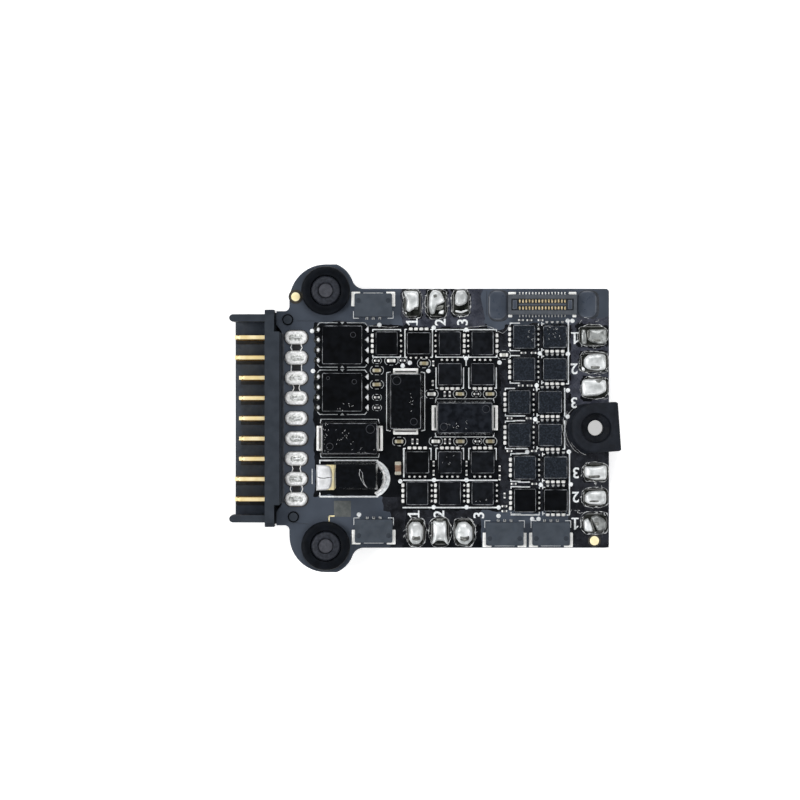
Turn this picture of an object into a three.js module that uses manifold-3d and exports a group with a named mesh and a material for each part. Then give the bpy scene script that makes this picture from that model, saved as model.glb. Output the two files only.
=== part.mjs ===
// Four-in-one motor speed controller board of a small quadcopter.
// Millimetres, +Z up out of the component side, +X from the battery connector to the rear pad.
// The board lies on z = 0 on its two ear dampers, its rear pad and its battery connector.

import * as THREE from "three";
import { mergeVertices } from "three/addons/utils/BufferGeometryUtils.js";
import Module from "manifold-3d";

const wasm = await Module();
wasm.setup();

// ---------------------------------------------------------------- driving dimensions

const RIGHT_ANGLE = Math.PI / 2;
const CURVE_STEPS = 6;
const CORNER_STEPS = 1;
const RING_STEPS = 24;
const SMALL_RING_STEPS = 12;
const MERGE_DISTANCE = 1e-4;
// How far a cutting or joining shape runs past the face it meets.
const OVERRUN = 0.1;

const BOARD_BOTTOM = 2.2;
const BOARD_TOP = 3.8;
const BOARD = {
  left: -17.75,
  right: 22.75,
  halfWidth: 16.03,
  cornerRadius: 0.4,
};
const TAB = { left: -18.4, rootY: 10.7, innerY: 11.6, outerY: 13.25, filletRadius: 0.6 };
const EAR = { x: -12.3, y: 15.8, radius: 3.53, filletRadius: 1.5, shoulderRadius: 4.5, top: 19.05 };

const DAMPER = {
  radius: 3.03,
  neckRadius: 2.45,
  boardHoleRadius: 2.6,
  pocketRadius: 1.95,
  boreRadius: 1.15,
  pocketFloor: 3.0,
  top: 4.8,
  edge: 0.25,
};
const SCREW = {
  headRadius: 1.83,
  shankRadius: 0.98,
  headBottom: 3.0,
  headTop: 4.7,
  tip: 0.2,
  edge: 0.12,
  socketFlats: 1.7,
  socketDepth: 1.1,
};

const REAR_PAD = {
  x: 21.1,
  y: -1.2,
  turn: THREE.MathUtils.degToRad(4),
  radius: 3.05,
  baseRadius: 3.5,
  baseHeight: 0.45,
  baseReach: 0.5,
  reach: 2.9,
  top: 5.3,
  neckRadius: 1.95,
  notchRadius: 2.2,
  pocketRadius: 1.82,
  pocketDepth: 1.7,
  boreRadius: 0.95,
};

const BLADE_PITCH = 2.5;
const BLADE_COUNT = 9;
const BLADE = {
  thickness: 0.45,
  longTip: -23.55,
  shortTip: -23.0,
  tipRadius: 0.8,
  bottom: 1.35,
  top: 5.4,
  root: -18.9,
  neck: -19.45,
  legBottom: 0.5,
  legTop: 1.6,
  tailLeft: -16.55,
  tailRight: -15.45,
  tailTop: 4.25,
  slotGap: 0.1,
  holeGap: 0.3,
};

const HOUSING = {
  front: -19.8,
  back: -18.0,
  endBack: -18.65,
  endInnerY: 10.7,
  halfWidth: 13.4,
  shoulder: 12.9,
  endDrop: 0.5,
  top: 6.4,
  footBack: -14.4,
  footHalfWidth: 13.1,
  floorFront: -23.55,
  floorTop: 1.2,
  wingTip: -24.2,
  wingInnerY: 11.95,
  wingOuterY: 12.85,
  wingTop: 5.9,
  pegRadius: 0.55,
  pegTop: 4.15,
  pegHoleRadius: 0.7,
};
const PEGS = [
  { x: -17.0, y: 12.2 },
  { x: -16.3, y: -12.2 },
];

const SMALL_MOSFET = {
  length: 2.7,
  width: 2.9,
  height: 0.8,
  reach: 3.36,
  leadPitch: 0.65,
  leadWidth: 0.36,
  leadHeight: 0.22,
};
const LARGE_MOSFET = {
  length: 4.95,
  width: 4.75,
  height: 1.0,
  reach: 6.1,
  leadPitch: 1.27,
  leadWidth: 0.5,
  leadHeight: 0.28,
};
const LEADS_PER_SIDE = 4;
const LARGE_MOSFET_COLUMN = -10.26;
const LARGE_MOSFET_ROWS = [9.07, 3.22];

const MOULDED_CAPACITOR = { length: 7.2, width: 4.2, height: 2.0, waist: 0.9, draft: 0.22 };
const MOULDED_CAPACITOR_PLACES = [
  { x: -9.33, y: -2.48, turn: 0 },
  { x: -2.41, y: 2.08, turn: 1 },
  { x: 4.9, y: 0.05, turn: 0 },
];
const BULK_CAPACITOR = { length: 5.4, width: 3.3, height: 2.5, waist: 1.1, draft: 0.22 };
const BULK_CAPACITOR_PLACE = { x: -8.55, y: -7.15 };

const BOARD_SOCKET = {
  x: 14.5,
  y: 14.06,
  length: 8.5,
  width: 2.5,
  height: 1.0,
  corner: 0.25,
  wellLength: 7.7,
  wellWidth: 1.45,
  wellFloor: 0.3,
};
const SIGNAL_SOCKET = {
  length: 4.65,
  width: 2.85,
  height: 1.35,
  corner: 0.2,
  mouthLength: 3.1,
  mouthHeight: 0.75,
  mouthDepth: 1.9,
};
const MOUTH_UP = 0;
const MOUTH_DOWN = 2;
const SIGNAL_SOCKET_PLACES = [
  { x: -6.42, y: 14.0, turn: MOUTH_UP },
  { x: -6.37, y: -13.95, turn: MOUTH_DOWN },
  { x: 9.83, y: -14.3, turn: MOUTH_DOWN },
  { x: 15.56, y: -14.3, turn: MOUTH_DOWN },
];

const CONTROLLER = { size: 5.0, height: 0.85, corner: 0.15 };
const CONTROLLER_COLUMNS = [3.2, 14.2];
const CONTROLLER_ROWS = [8.2, -8.2];
const REGULATOR = { size: 3.0, height: 0.9, corner: 0.12 };
const REGULATOR_PLACE = { x: -9.2, y: -4.5 };
const INDUCTOR = { size: 4.2, height: 1.8, corner: 0.7 };
const INDUCTOR_PLACE = { x: -4.4, y: -4.3 };

// The centre columns and rows of the small transistors, and which way each one's pads face.
// Turns are in quarter turns: 0 has the source pads to the left.
const PADS_LEFT = 0;
const PADS_DOWN = 1;
const PADS_RIGHT = 2;
const PADS_UP = 3;
const OUTER_ROW = 9.27;
const INNER_ROW = 5.45;
const CENTRE_COLUMNS = [-0.97, 3.05, 7.1];
const UPPER_MOSFETS = [
  { x: -4.76, y: OUTER_ROW, turn: PADS_LEFT },
  { x: -0.8, y: OUTER_ROW, turn: PADS_UP },
  { x: CENTRE_COLUMNS[1], y: OUTER_ROW, turn: PADS_RIGHT },
  { x: CENTRE_COLUMNS[2], y: OUTER_ROW, turn: PADS_RIGHT },
  { x: CENTRE_COLUMNS[1], y: INNER_ROW, turn: PADS_DOWN },
  { x: CENTRE_COLUMNS[2], y: INNER_ROW, turn: PADS_DOWN },
];
const REAR_COLUMN_STEP = 3.8;
const REAR_ROWS = [
  { x: 12.24, y: 10.07 },
  { x: 12.24, y: 6.05 },
  { x: 11.65, y: 2.0 },
  { x: 11.65, y: -2.06 },
  { x: 12.33, y: -6.09 },
  { x: 12.35, y: -10.16 },
];

// ---------------------------------------------------------------- materials

const FINISHES = {
  mask: { color: "#3d434a", roughness: 0.55, metalness: 0.0 },
  housing: { color: "#2a3036", roughness: 0.6, metalness: 0.0 },
  gold: { color: "#e0b268", roughness: 0.3, metalness: 1.0 },
  rubber: { color: "#17181a", roughness: 0.85, metalness: 0.0 },
  screw: { color: "#3a383f", roughness: 0.4, metalness: 0.8 },
  chip: { color: "#131518", roughness: 0.35, metalness: 0.0 },
  capacitor: { color: "#1b1d20", roughness: 0.45, metalness: 0.0 },
  connector: { color: "#333c47", roughness: 0.5, metalness: 0.0 },
  ferrite: { color: "#3b3b3d", roughness: 0.7, metalness: 0.0 },
};

// ---------------------------------------------------------------- shape helpers

function block(left, right, front, back, bottom, top) {
  const geometry = new THREE.BoxGeometry(right - left, back - front, top - bottom);
  return geometry.translate((left + right) / 2, (front + back) / 2, (bottom + top) / 2);
}

function centredBlock(length, width, bottom, top) {
  return block(-length / 2, length / 2, -width / 2, width / 2, bottom, top);
}

function slab(shape, bottom, top, curveSegments = CURVE_STEPS) {
  const options = { depth: top - bottom, bevelEnabled: false, curveSegments };
  return new THREE.ExtrudeGeometry(shape, options).translate(0, 0, bottom);
}

function disc(x, y, radius, bottom, top, steps = RING_STEPS) {
  const geometry = new THREE.CylinderGeometry(radius, radius, top - bottom, steps);
  return geometry.rotateX(RIGHT_ANGLE).translate(x, y, (bottom + top) / 2);
}

function turned(profile, steps = RING_STEPS) {
  const points = profile.map(([radius, height]) => new THREE.Vector2(radius, height));
  return new THREE.LatheGeometry(points, steps).rotateX(RIGHT_ANGLE);
}

function roundedRectangle(length, width, radius) {
  const right = length / 2;
  const top = width / 2;
  const shape = new THREE.Shape();
  shape.absarc(right - radius, top - radius, radius, 0, RIGHT_ANGLE);
  shape.absarc(radius - right, top - radius, radius, RIGHT_ANGLE, 2 * RIGHT_ANGLE);
  shape.absarc(radius - right, radius - top, radius, 2 * RIGHT_ANGLE, 3 * RIGHT_ANGLE);
  shape.absarc(right - radius, radius - top, radius, 3 * RIGHT_ANGLE, 4 * RIGHT_ANGLE);
  return shape;
}

// The points of an outline, without one that repeats the point before it.
function distinct(points) {
  return points.filter((point, index) => point.distanceTo(points.at(index - 1)) > MERGE_DISTANCE);
}

function toManifold(geometry) {
  const bare = geometry.clone();
  bare.deleteAttribute("normal");
  bare.deleteAttribute("uv");
  const merged = mergeVertices(bare, MERGE_DISTANCE);
  const vertProperties = Float32Array.from(merged.attributes.position.array);
  const triVerts = Uint32Array.from(merged.index.array);
  return new wasm.Manifold(new wasm.Mesh({ numProp: 3, vertProperties, triVerts }));
}

function fromManifold(solid) {
  const mesh = solid.getMesh();
  const geometry = new THREE.BufferGeometry();
  geometry.setAttribute("position", new THREE.BufferAttribute(mesh.vertProperties, 3));
  geometry.setIndex(new THREE.BufferAttribute(mesh.triVerts, 1));
  geometry.computeVertexNormals();
  return geometry;
}

function shaped(added, removed = []) {
  let solid = toManifold(added[0]);
  for (const geometry of added.slice(1)) {
    solid = solid.add(toManifold(geometry));
  }
  for (const geometry of removed) {
    solid = solid.subtract(toManifold(geometry));
  }
  return fromManifold(solid);
}

function named(name, geometry, finish) {
  const mesh = new THREE.Mesh(geometry, new THREE.MeshStandardMaterial(FINISHES[finish]));
  mesh.name = name;
  return mesh;
}

function placed(mesh, x, y, z = BOARD_TOP, quarterTurns = 0) {
  mesh.position.set(x, y, z);
  mesh.rotation.z = quarterTurns * RIGHT_ANGLE;
  return mesh;
}

// ---------------------------------------------------------------- circuit board

// The edge from the middle of the left side, round the upper ear, to the upper right corner.
function upperBoardEdge() {
  const path = new THREE.Path();
  path.moveTo(BOARD.left, TAB.rootY);
  path.lineTo(TAB.left, TAB.innerY);
  path.lineTo(TAB.left, TAB.outerY);
  const shoulderX = EAR.x - EAR.shoulderRadius;
  const fillet = TAB.filletRadius;
  path.absarc(shoulderX - fillet, TAB.outerY + fillet, fillet, -RIGHT_ANGLE, 0, false);
  path.absarc(EAR.x, EAR.top - EAR.shoulderRadius, EAR.shoulderRadius, 2 * RIGHT_ANGLE, RIGHT_ANGLE, true);

  const reach = EAR.radius + EAR.filletRadius;
  const rise = BOARD.halfWidth + EAR.filletRadius - EAR.y;
  const filletX = EAR.x + Math.sqrt(reach ** 2 - rise ** 2);
  const meet = Math.atan2(rise, filletX - EAR.x);
  const crest = Math.asin((EAR.top - EAR.y) / EAR.radius);
  path.absarc(EAR.x, EAR.y, EAR.radius, crest, meet, true);
  const filletY = BOARD.halfWidth + EAR.filletRadius;
  path.absarc(filletX, filletY, EAR.filletRadius, meet + 2 * RIGHT_ANGLE, 3 * RIGHT_ANGLE, false);

  const corner = BOARD.cornerRadius;
  path.absarc(BOARD.right - corner, BOARD.halfWidth - corner, corner, RIGHT_ANGLE, 0, true);
  return path.getPoints(CURVE_STEPS);
}

// The open notch in the right edge that holds the rear pad's neck.
function rearNotchEdge() {
  const path = new THREE.Path();
  path.moveTo(BOARD.right, REAR_PAD.y + REAR_PAD.notchRadius);
  path.lineTo(REAR_PAD.x, REAR_PAD.y + REAR_PAD.notchRadius);
  path.absarc(REAR_PAD.x, REAR_PAD.y, REAR_PAD.notchRadius, RIGHT_ANGLE, 3 * RIGHT_ANGLE, false);
  path.lineTo(BOARD.right, REAR_PAD.y - REAR_PAD.notchRadius);
  return path.getPoints(CURVE_STEPS);
}

function roundHole(x, y, radius, steps) {
  const hole = new THREE.Path();
  hole.absarc(x, y, radius, 0, 4 * RIGHT_ANGLE);
  return new THREE.Path(distinct(hole.getPoints(steps / 2)));
}

function bladeRows() {
  const middle = (BLADE_COUNT - 1) / 2;
  return Array.from({ length: BLADE_COUNT }, (_, index) => (index - middle) * BLADE_PITCH);
}

function circuitBoard() {
  const upper = upperBoardEdge();
  const lower = upper.map((point) => new THREE.Vector2(point.x, -point.y)).reverse();
  const outline = new THREE.Shape(distinct([...upper, ...rearNotchEdge(), ...lower]));
  for (const side of [1, -1]) {
    outline.holes.push(roundHole(EAR.x, side * EAR.y, DAMPER.boardHoleRadius, RING_STEPS));
  }
  for (const peg of PEGS) {
    outline.holes.push(roundHole(peg.x, peg.y, HOUSING.pegHoleRadius, SMALL_RING_STEPS));
  }
  const halfSlot = BLADE.thickness / 2 + BLADE.holeGap;
  for (const y of bladeRows()) {
    const left = BLADE.tailLeft - BLADE.holeGap;
    const right = BLADE.tailRight + BLADE.holeGap;
    const slot = new THREE.Path();
    slot.moveTo(left, y - halfSlot);
    slot.lineTo(right, y - halfSlot);
    slot.lineTo(right, y + halfSlot);
    slot.lineTo(left, y + halfSlot);
    outline.holes.push(slot);
  }
  return named("pcb", shaped([slab(outline, BOARD_BOTTOM, BOARD_TOP)]), "mask");
}

// ---------------------------------------------------------------- battery connector

// The rib stands at the board's edge, the foot goes under the board, and the floor and
// the two wings guard the blades.
function batteryHousing() {
  const { front, back, endBack, endInnerY, halfWidth, shoulder, top, floorTop } = HOUSING;
  const pieces = [
    block(front, back, -endInnerY, endInnerY, 0, top),
    block(front, endBack, -shoulder, shoulder, 0, top),
    block(front, endBack, -halfWidth, halfWidth, 0, top - HOUSING.endDrop),
    block(front, HOUSING.footBack, -HOUSING.footHalfWidth, HOUSING.footHalfWidth, 0, BOARD_BOTTOM),
    block(HOUSING.floorFront, front + OVERRUN, -shoulder, shoulder, 0, floorTop),
  ];
  const wingRadius = (HOUSING.wingOuterY - HOUSING.wingInnerY) / 2;
  const wingEnd = HOUSING.wingTip + wingRadius;
  for (const side of [1, -1]) {
    const y = side * (HOUSING.wingInnerY + wingRadius);
    pieces.push(block(wingEnd, front + OVERRUN, y - wingRadius, y + wingRadius, 0, HOUSING.wingTop));
    pieces.push(disc(wingEnd, y, wingRadius, 0, HOUSING.wingTop, SMALL_RING_STEPS));
  }
  for (const peg of PEGS) {
    pieces.push(disc(peg.x, peg.y, HOUSING.pegRadius, floorTop, HOUSING.pegTop, SMALL_RING_STEPS));
  }
  const gap = BLADE.slotGap;
  const halfSlot = BLADE.thickness / 2 + gap;
  const slots = [];
  for (const y of bladeRows()) {
    const near = y - halfSlot;
    const far = y + halfSlot;
    const bottom = BLADE.legBottom - gap;
    slots.push(block(front - OVERRUN, BLADE.root + gap, near, far, bottom, BLADE.top + gap));
    slots.push(block(front, BLADE.tailRight + gap, near, far, bottom, BOARD_BOTTOM + OVERRUN));
  }
  return named("battery_connector_housing", shaped(pieces, slots), "housing");
}

// One blade, drawn from the side: a tall knife in front of the rib, a leg under the board and
// a tail up through it.
function batteryBlade(name, y, tip) {
  const outline = new THREE.Shape();
  const radius = BLADE.tipRadius;
  outline.moveTo(BLADE.root, BLADE.top);
  outline.lineTo(tip + radius, BLADE.top);
  outline.absarc(tip + radius, BLADE.top - radius, radius, RIGHT_ANGLE, 2 * RIGHT_ANGLE, false);
  outline.absarc(tip + radius, BLADE.bottom + radius, radius, 2 * RIGHT_ANGLE, 3 * RIGHT_ANGLE, false);
  outline.lineTo(BLADE.neck, BLADE.bottom);
  outline.lineTo(BLADE.neck, BLADE.legBottom);
  outline.lineTo(BLADE.tailRight, BLADE.legBottom);
  outline.lineTo(BLADE.tailRight, BLADE.tailTop);
  outline.lineTo(BLADE.tailLeft, BLADE.tailTop);
  outline.lineTo(BLADE.tailLeft, BLADE.legTop);
  outline.lineTo(BLADE.root, BLADE.legTop);
  const geometry = slab(outline, -BLADE.thickness / 2, BLADE.thickness / 2).rotateX(RIGHT_ANGLE);
  const mesh = named(name, shaped([geometry]), "gold");
  mesh.position.y = y;
  return mesh;
}

function batteryBlades() {
  const rows = bladeRows();
  return rows.map((y, index) => {
    const outer = Math.min(index, rows.length - 1 - index) < 2;
    return batteryBlade(`battery_blade_${index + 1}`, y, outer ? BLADE.longTip : BLADE.shortTip);
  });
}

// ---------------------------------------------------------------- dampers, screws and rear pad

function earDamper(name, side) {
  const { radius, neckRadius, pocketRadius, boreRadius, pocketFloor, top, edge } = DAMPER;
  const profile = [
    [boreRadius, 0],
    [radius - edge, 0],
    [radius, edge],
    [radius, BOARD_BOTTOM],
    [neckRadius, BOARD_BOTTOM],
    [neckRadius, BOARD_TOP],
    [radius, BOARD_TOP],
    [radius, top - edge],
    [radius - edge, top],
    [pocketRadius, top],
    [pocketRadius, pocketFloor],
    [boreRadius, pocketFloor],
    [boreRadius, 0],
  ];
  return placed(named(name, shaped([turned(profile)]), "rubber"), EAR.x, side * EAR.y, 0);
}

function earScrew(name, side) {
  const { headRadius, shankRadius, headBottom, headTop, tip, edge } = SCREW;
  const profile = [
    [0, tip],
    [shankRadius - edge, tip],
    [shankRadius, tip + edge],
    [shankRadius, headBottom],
    [headRadius, headBottom],
    [headRadius, headTop - edge],
    [headRadius - edge, headTop],
    [0, headTop],
  ];
  const socketRadius = SCREW.socketFlats / 2 / Math.cos(Math.PI / 6);
  const socket = disc(0, 0, socketRadius, headTop - SCREW.socketDepth, headTop + edge, 6);
  const mesh = named(name, shaped([turned(profile)], [socket]), "screw");
  return placed(mesh, EAR.x, side * EAR.y, 0);
}

// A D: round towards the middle of the board, square where it hangs over the edge.
function rearPadOutline(radius, halfWidth, reach) {
  const outline = new THREE.Shape();
  outline.moveTo(reach, halfWidth);
  outline.lineTo(0, halfWidth);
  outline.absarc(0, 0, radius, RIGHT_ANGLE, 3 * RIGHT_ANGLE, false);
  outline.lineTo(reach, -halfWidth);
  return outline;
}

function rearPad() {
  const { radius, baseRadius, baseHeight, reach, top, neckRadius, pocketRadius } = REAR_PAD;
  const flange = rearPadOutline(radius, radius, reach);
  const neck = rearPadOutline(neckRadius, neckRadius, reach);
  const base = rearPadOutline(baseRadius, radius, REAR_PAD.baseReach);
  const pieces = [
    slab(flange, 0, BOARD_BOTTOM),
    slab(flange, BOARD_TOP, top),
    slab(neck, BOARD_BOTTOM - OVERRUN, BOARD_TOP + OVERRUN),
    slab(base, BOARD_TOP, BOARD_TOP + baseHeight),
  ];
  const bores = [
    disc(0, 0, REAR_PAD.boreRadius, -OVERRUN, top),
    disc(0, 0, pocketRadius, top - REAR_PAD.pocketDepth, top + OVERRUN),
  ];
  const mesh = placed(named("rear_mount_pad", shaped(pieces, bores), "rubber"), REAR_PAD.x, REAR_PAD.y, 0);
  mesh.rotation.z = REAR_PAD.turn;
  return mesh;
}

// ---------------------------------------------------------------- transistors and capacitors

// A flat moulded body with four leads on its left and four on its right.
function mosfet(name, size, x, y, quarterTurns) {
  const pieces = [centredBlock(size.length, size.width, 0, size.height)];
  for (let row = 0; row < LEADS_PER_SIDE; row += 1) {
    const leadY = (row - (LEADS_PER_SIDE - 1) / 2) * size.leadPitch;
    pieces.push(centredBlock(size.reach, size.leadWidth, 0, size.leadHeight).translate(0, leadY, 0));
  }
  return placed(named(name, shaped(pieces), "chip"), x, y, BOARD_TOP, quarterTurns);
}

function smallMosfet(name, x, y, quarterTurns) {
  return mosfet(name, SMALL_MOSFET, x, y, quarterTurns);
}

function smallMosfets() {
  const upper = UPPER_MOSFETS.map(({ x, y, turn }, index) =>
    smallMosfet(`mosfet_upper_${index + 1}`, x, y, turn)
  );
  const lower = CENTRE_COLUMNS.flatMap((x, index) => [
    smallMosfet(`mosfet_lower_${index + 1}`, x, -INNER_ROW, PADS_UP),
    smallMosfet(`mosfet_lower_${index + 4}`, x, -OUTER_ROW, PADS_LEFT),
  ]);
  const rear = REAR_ROWS.flatMap(({ x, y }, index) => [
    smallMosfet(`mosfet_rear_${2 * index + 1}`, x, y, PADS_LEFT),
    smallMosfet(`mosfet_rear_${2 * index + 2}`, x + REAR_COLUMN_STEP, y, PADS_DOWN),
  ]);
  return [...upper, ...lower, ...rear];
}

function largeMosfets() {
  return LARGE_MOSFET_ROWS.map((y, index) =>
    mosfet(`power_mosfet_${index + 1}`, LARGE_MOSFET, LARGE_MOSFET_COLUMN, y, PADS_LEFT)
  );
}

// A moulded case: straight up to the waist, then drawn in towards the top.
function mouldedCase(name, size, { x, y, turn = 0 }) {
  const { length, width, height, waist, draft } = size;
  const lower = centredBlock(length, width, 0, waist);
  const upper = centredBlock(length, width, waist, height);
  const points = upper.attributes.position;
  for (let index = 0; index < points.count; index += 1) {
    if (points.getZ(index) > waist + MERGE_DISTANCE) {
      points.setX(index, points.getX(index) - Math.sign(points.getX(index)) * draft);
      points.setY(index, points.getY(index) - Math.sign(points.getY(index)) * draft);
    }
  }
  return placed(named(name, shaped([lower, upper]), "capacitor"), x, y, BOARD_TOP, turn);
}

function capacitors() {
  const moulded = MOULDED_CAPACITOR_PLACES.map((place, index) =>
    mouldedCase(`moulded_capacitor_${index + 1}`, MOULDED_CAPACITOR, place)
  );
  return [...moulded, mouldedCase("bulk_capacitor", BULK_CAPACITOR, BULK_CAPACITOR_PLACE)];
}

// ---------------------------------------------------------------- signal connectors

function boardSocket() {
  const { x, y, length, width, height, corner, wellLength, wellWidth, wellFloor } = BOARD_SOCKET;
  const body = slab(roundedRectangle(length, width, corner), 0, height, CORNER_STEPS);
  const well = centredBlock(wellLength, wellWidth, wellFloor, height + OVERRUN);
  return placed(named("board_to_board_connector", shaped([body], [well]), "connector"), x, y);
}

// A three-way plug socket whose mouth faces the board's outer edge.
function signalSocket(name, { x, y, turn }) {
  const { length, width, height, corner, mouthLength, mouthHeight, mouthDepth } = SIGNAL_SOCKET;
  const body = slab(roundedRectangle(length, width, corner), 0, height, CORNER_STEPS);
  const bottom = (height - mouthHeight) / 2;
  const mouth = centredBlock(mouthLength, mouthDepth + OVERRUN, bottom, bottom + mouthHeight);
  mouth.translate(0, (width - mouthDepth + OVERRUN) / 2, 0);
  return placed(named(name, shaped([body], [mouth]), "connector"), x, y, BOARD_TOP, turn);
}

function signalSockets() {
  return SIGNAL_SOCKET_PLACES.map((place, index) => signalSocket(`signal_connector_${index + 1}`, place));
}

// ---------------------------------------------------------------- parts under the board

function underside(name, { size, height, corner }, finish, { x, y }) {
  const body = slab(roundedRectangle(size, size, corner), 0, height, CORNER_STEPS);
  return placed(named(name, shaped([body]), finish), x, y, BOARD_BOTTOM - height);
}

function undersideParts() {
  const places = CONTROLLER_COLUMNS.flatMap((x) => CONTROLLER_ROWS.map((y) => ({ x, y })));
  const controllers = places.map((place, index) =>
    underside(`motor_controller_${index + 1}`, CONTROLLER, "chip", place)
  );
  return [
    ...controllers,
    underside("regulator_chip", REGULATOR, "chip", REGULATOR_PLACE),
    underside("power_inductor", INDUCTOR, "ferrite", INDUCTOR_PLACE),
  ];
}

// ---------------------------------------------------------------- assembly

const board = new THREE.Group();
board.add(circuitBoard(), batteryHousing(), ...batteryBlades());
board.add(earDamper("ear_damper_upper", 1), earDamper("ear_damper_lower", -1));
board.add(earScrew("ear_screw_upper", 1), earScrew("ear_screw_lower", -1), rearPad());
board.add(...smallMosfets(), ...largeMosfets(), ...capacitors());
board.add(boardSocket(), ...signalSockets(), ...undersideParts());

// The origin is under the middle of the whole outline, on the plane that the part lies on.
const part = new THREE.Group();
part.add(board);
const extent = new THREE.Box3().setFromObject(board);
const middle = extent.getCenter(new THREE.Vector3());
board.position.set(-middle.x, -middle.y, -extent.min.z);

export default part;
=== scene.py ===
"""A drone's four-in-one speed controller board, seen from straight above."""

import math
import random

import bmesh
import bpy
import numpy as np
from mathutils import Matrix, Vector, noise


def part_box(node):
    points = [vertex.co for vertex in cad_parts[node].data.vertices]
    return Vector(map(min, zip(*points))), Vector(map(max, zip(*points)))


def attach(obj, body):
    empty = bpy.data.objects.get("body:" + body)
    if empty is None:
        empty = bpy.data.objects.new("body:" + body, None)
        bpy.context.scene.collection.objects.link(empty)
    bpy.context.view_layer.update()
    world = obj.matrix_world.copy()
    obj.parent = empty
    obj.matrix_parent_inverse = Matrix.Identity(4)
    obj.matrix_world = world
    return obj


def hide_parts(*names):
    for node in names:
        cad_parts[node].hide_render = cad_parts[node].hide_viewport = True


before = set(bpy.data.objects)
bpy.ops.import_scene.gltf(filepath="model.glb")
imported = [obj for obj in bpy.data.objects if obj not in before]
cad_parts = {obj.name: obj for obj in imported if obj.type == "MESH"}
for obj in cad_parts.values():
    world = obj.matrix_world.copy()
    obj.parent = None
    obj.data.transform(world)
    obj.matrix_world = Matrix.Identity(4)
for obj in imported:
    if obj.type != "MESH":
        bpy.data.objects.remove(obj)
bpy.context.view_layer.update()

MM = 0.001
NOISE_SEED = 1
noise.seed_set(NOISE_SEED)


# ---------------------------------------------------------------- places, in millimetres


def box_mm(node):
    low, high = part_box(node)
    return Vector(low) / MM, Vector(high) / MM


def centre_of(node):
    low, high = box_mm(node)
    return (low + high) / 2


def top_face(node):
    """The box of the node's highest face, whose edges lie inside those of the whole node."""
    top = box_mm(node)[1].z
    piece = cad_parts[node]
    corners = [piece.matrix_world @ vertex.co / MM for vertex in piece.data.vertices]
    corners = [corner for corner in corners if corner.z > top - 0.02]
    low = Vector((min(corner.x for corner in corners), min(corner.y for corner in corners), top))
    high = Vector((max(corner.x for corner in corners), max(corner.y for corner in corners), top))
    return low, high


def local_point(centre, turn, u, v):
    """The point (u, v) from a centre whose axes are turned by so many degrees."""
    cos, sin = math.cos(math.radians(turn)), math.sin(math.radians(turn))
    return centre.x + u * cos - v * sin, centre.y + u * sin + v * cos


def numbered(name, count):
    return [f"{name}_{number}" for number in range(1, count + 1)]


BOARD_BOTTOM = box_mm("pcb")[0].z
BOARD_TOP = box_mm("pcb")[1].z
MAIN_RIGHT = box_mm("pcb")[1].x
MAIN_HALF_WIDTH = 16.03
MOSFETS = [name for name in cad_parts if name.startswith("mosfet_")]
POWER_MOSFETS = numbered("power_mosfet", 2)
CAPACITORS = numbered("moulded_capacitor", 3)
CAPACITOR_TURNS = {name: turn for name, turn in zip(CAPACITORS, (0, 90, 0))}
SOCKETS = numbered("signal_connector", 4)
BLADES = numbered("battery_blade", 9)
CONTROLLERS = numbered("motor_controller", 4)
BULK_END = (-6.68, -7.46)
PAD_CENTRE = (21.1, -1.2)


# ---------------------------------------------------------------- mesh building


def rectangle(length, width, radius, steps=3):
    """A rounded rectangle that can be drawn in by an inset, anticlockwise."""

    def outline(inset):
        right = length / 2 - inset
        top = width / 2 - inset
        corner = max(min(radius - inset * 0.6, right, top), 0.15 * radius)
        corner = min(corner, right, top)
        points = []
        for number, (sign_x, sign_y) in enumerate([(1, 1), (-1, 1), (-1, -1), (1, -1)]):
            for step in range(steps + 1):
                angle = math.pi / 2 * (number + step / steps)
                x = sign_x * (right - corner) + corner * math.cos(angle)
                y = sign_y * (top - corner) + corner * math.sin(angle)
                points.append((x, y))
        return points

    return outline


def ellipse(length, width, steps=16):
    def outline(inset):
        angles = [2 * math.pi * step / steps for step in range(steps)]
        half_length, half_width = length / 2 - inset, width / 2 - inset
        return [(half_length * math.cos(angle), half_width * math.sin(angle)) for angle in angles]

    return outline


def polygon(corners):
    """Corners that shrink towards their middle, for small convex shapes."""
    middle_x = sum(x for x, _ in corners) / len(corners)
    middle_y = sum(y for _, y in corners) / len(corners)
    reach = max(math.hypot(x - middle_x, y - middle_y) for x, y in corners)

    def outline(inset):
        scale = 1 - inset / reach
        return [(middle_x + (x - middle_x) * scale, middle_y + (y - middle_y) * scale) for x, y in corners]

    return outline


def sides(points):
    """Each point with the one after it, all the way round."""
    return list(zip(points, points[1:] + points[:1]))


def dome(height, inset, steps=4):
    """Levels that rise and draw in along a quarter ellipse."""
    angles = [math.pi / 2 * step / steps for step in range(steps + 1)]
    return [(height * math.sin(angle), inset * (1 - math.cos(angle))) for angle in angles]


def slab(height, edge=0.01):
    """Levels of a flat-topped slab with a softened top edge."""
    return [(0, 0), (height - edge, 0), (height - edge * 0.3, edge * 0.3), (height, edge)]


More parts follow.
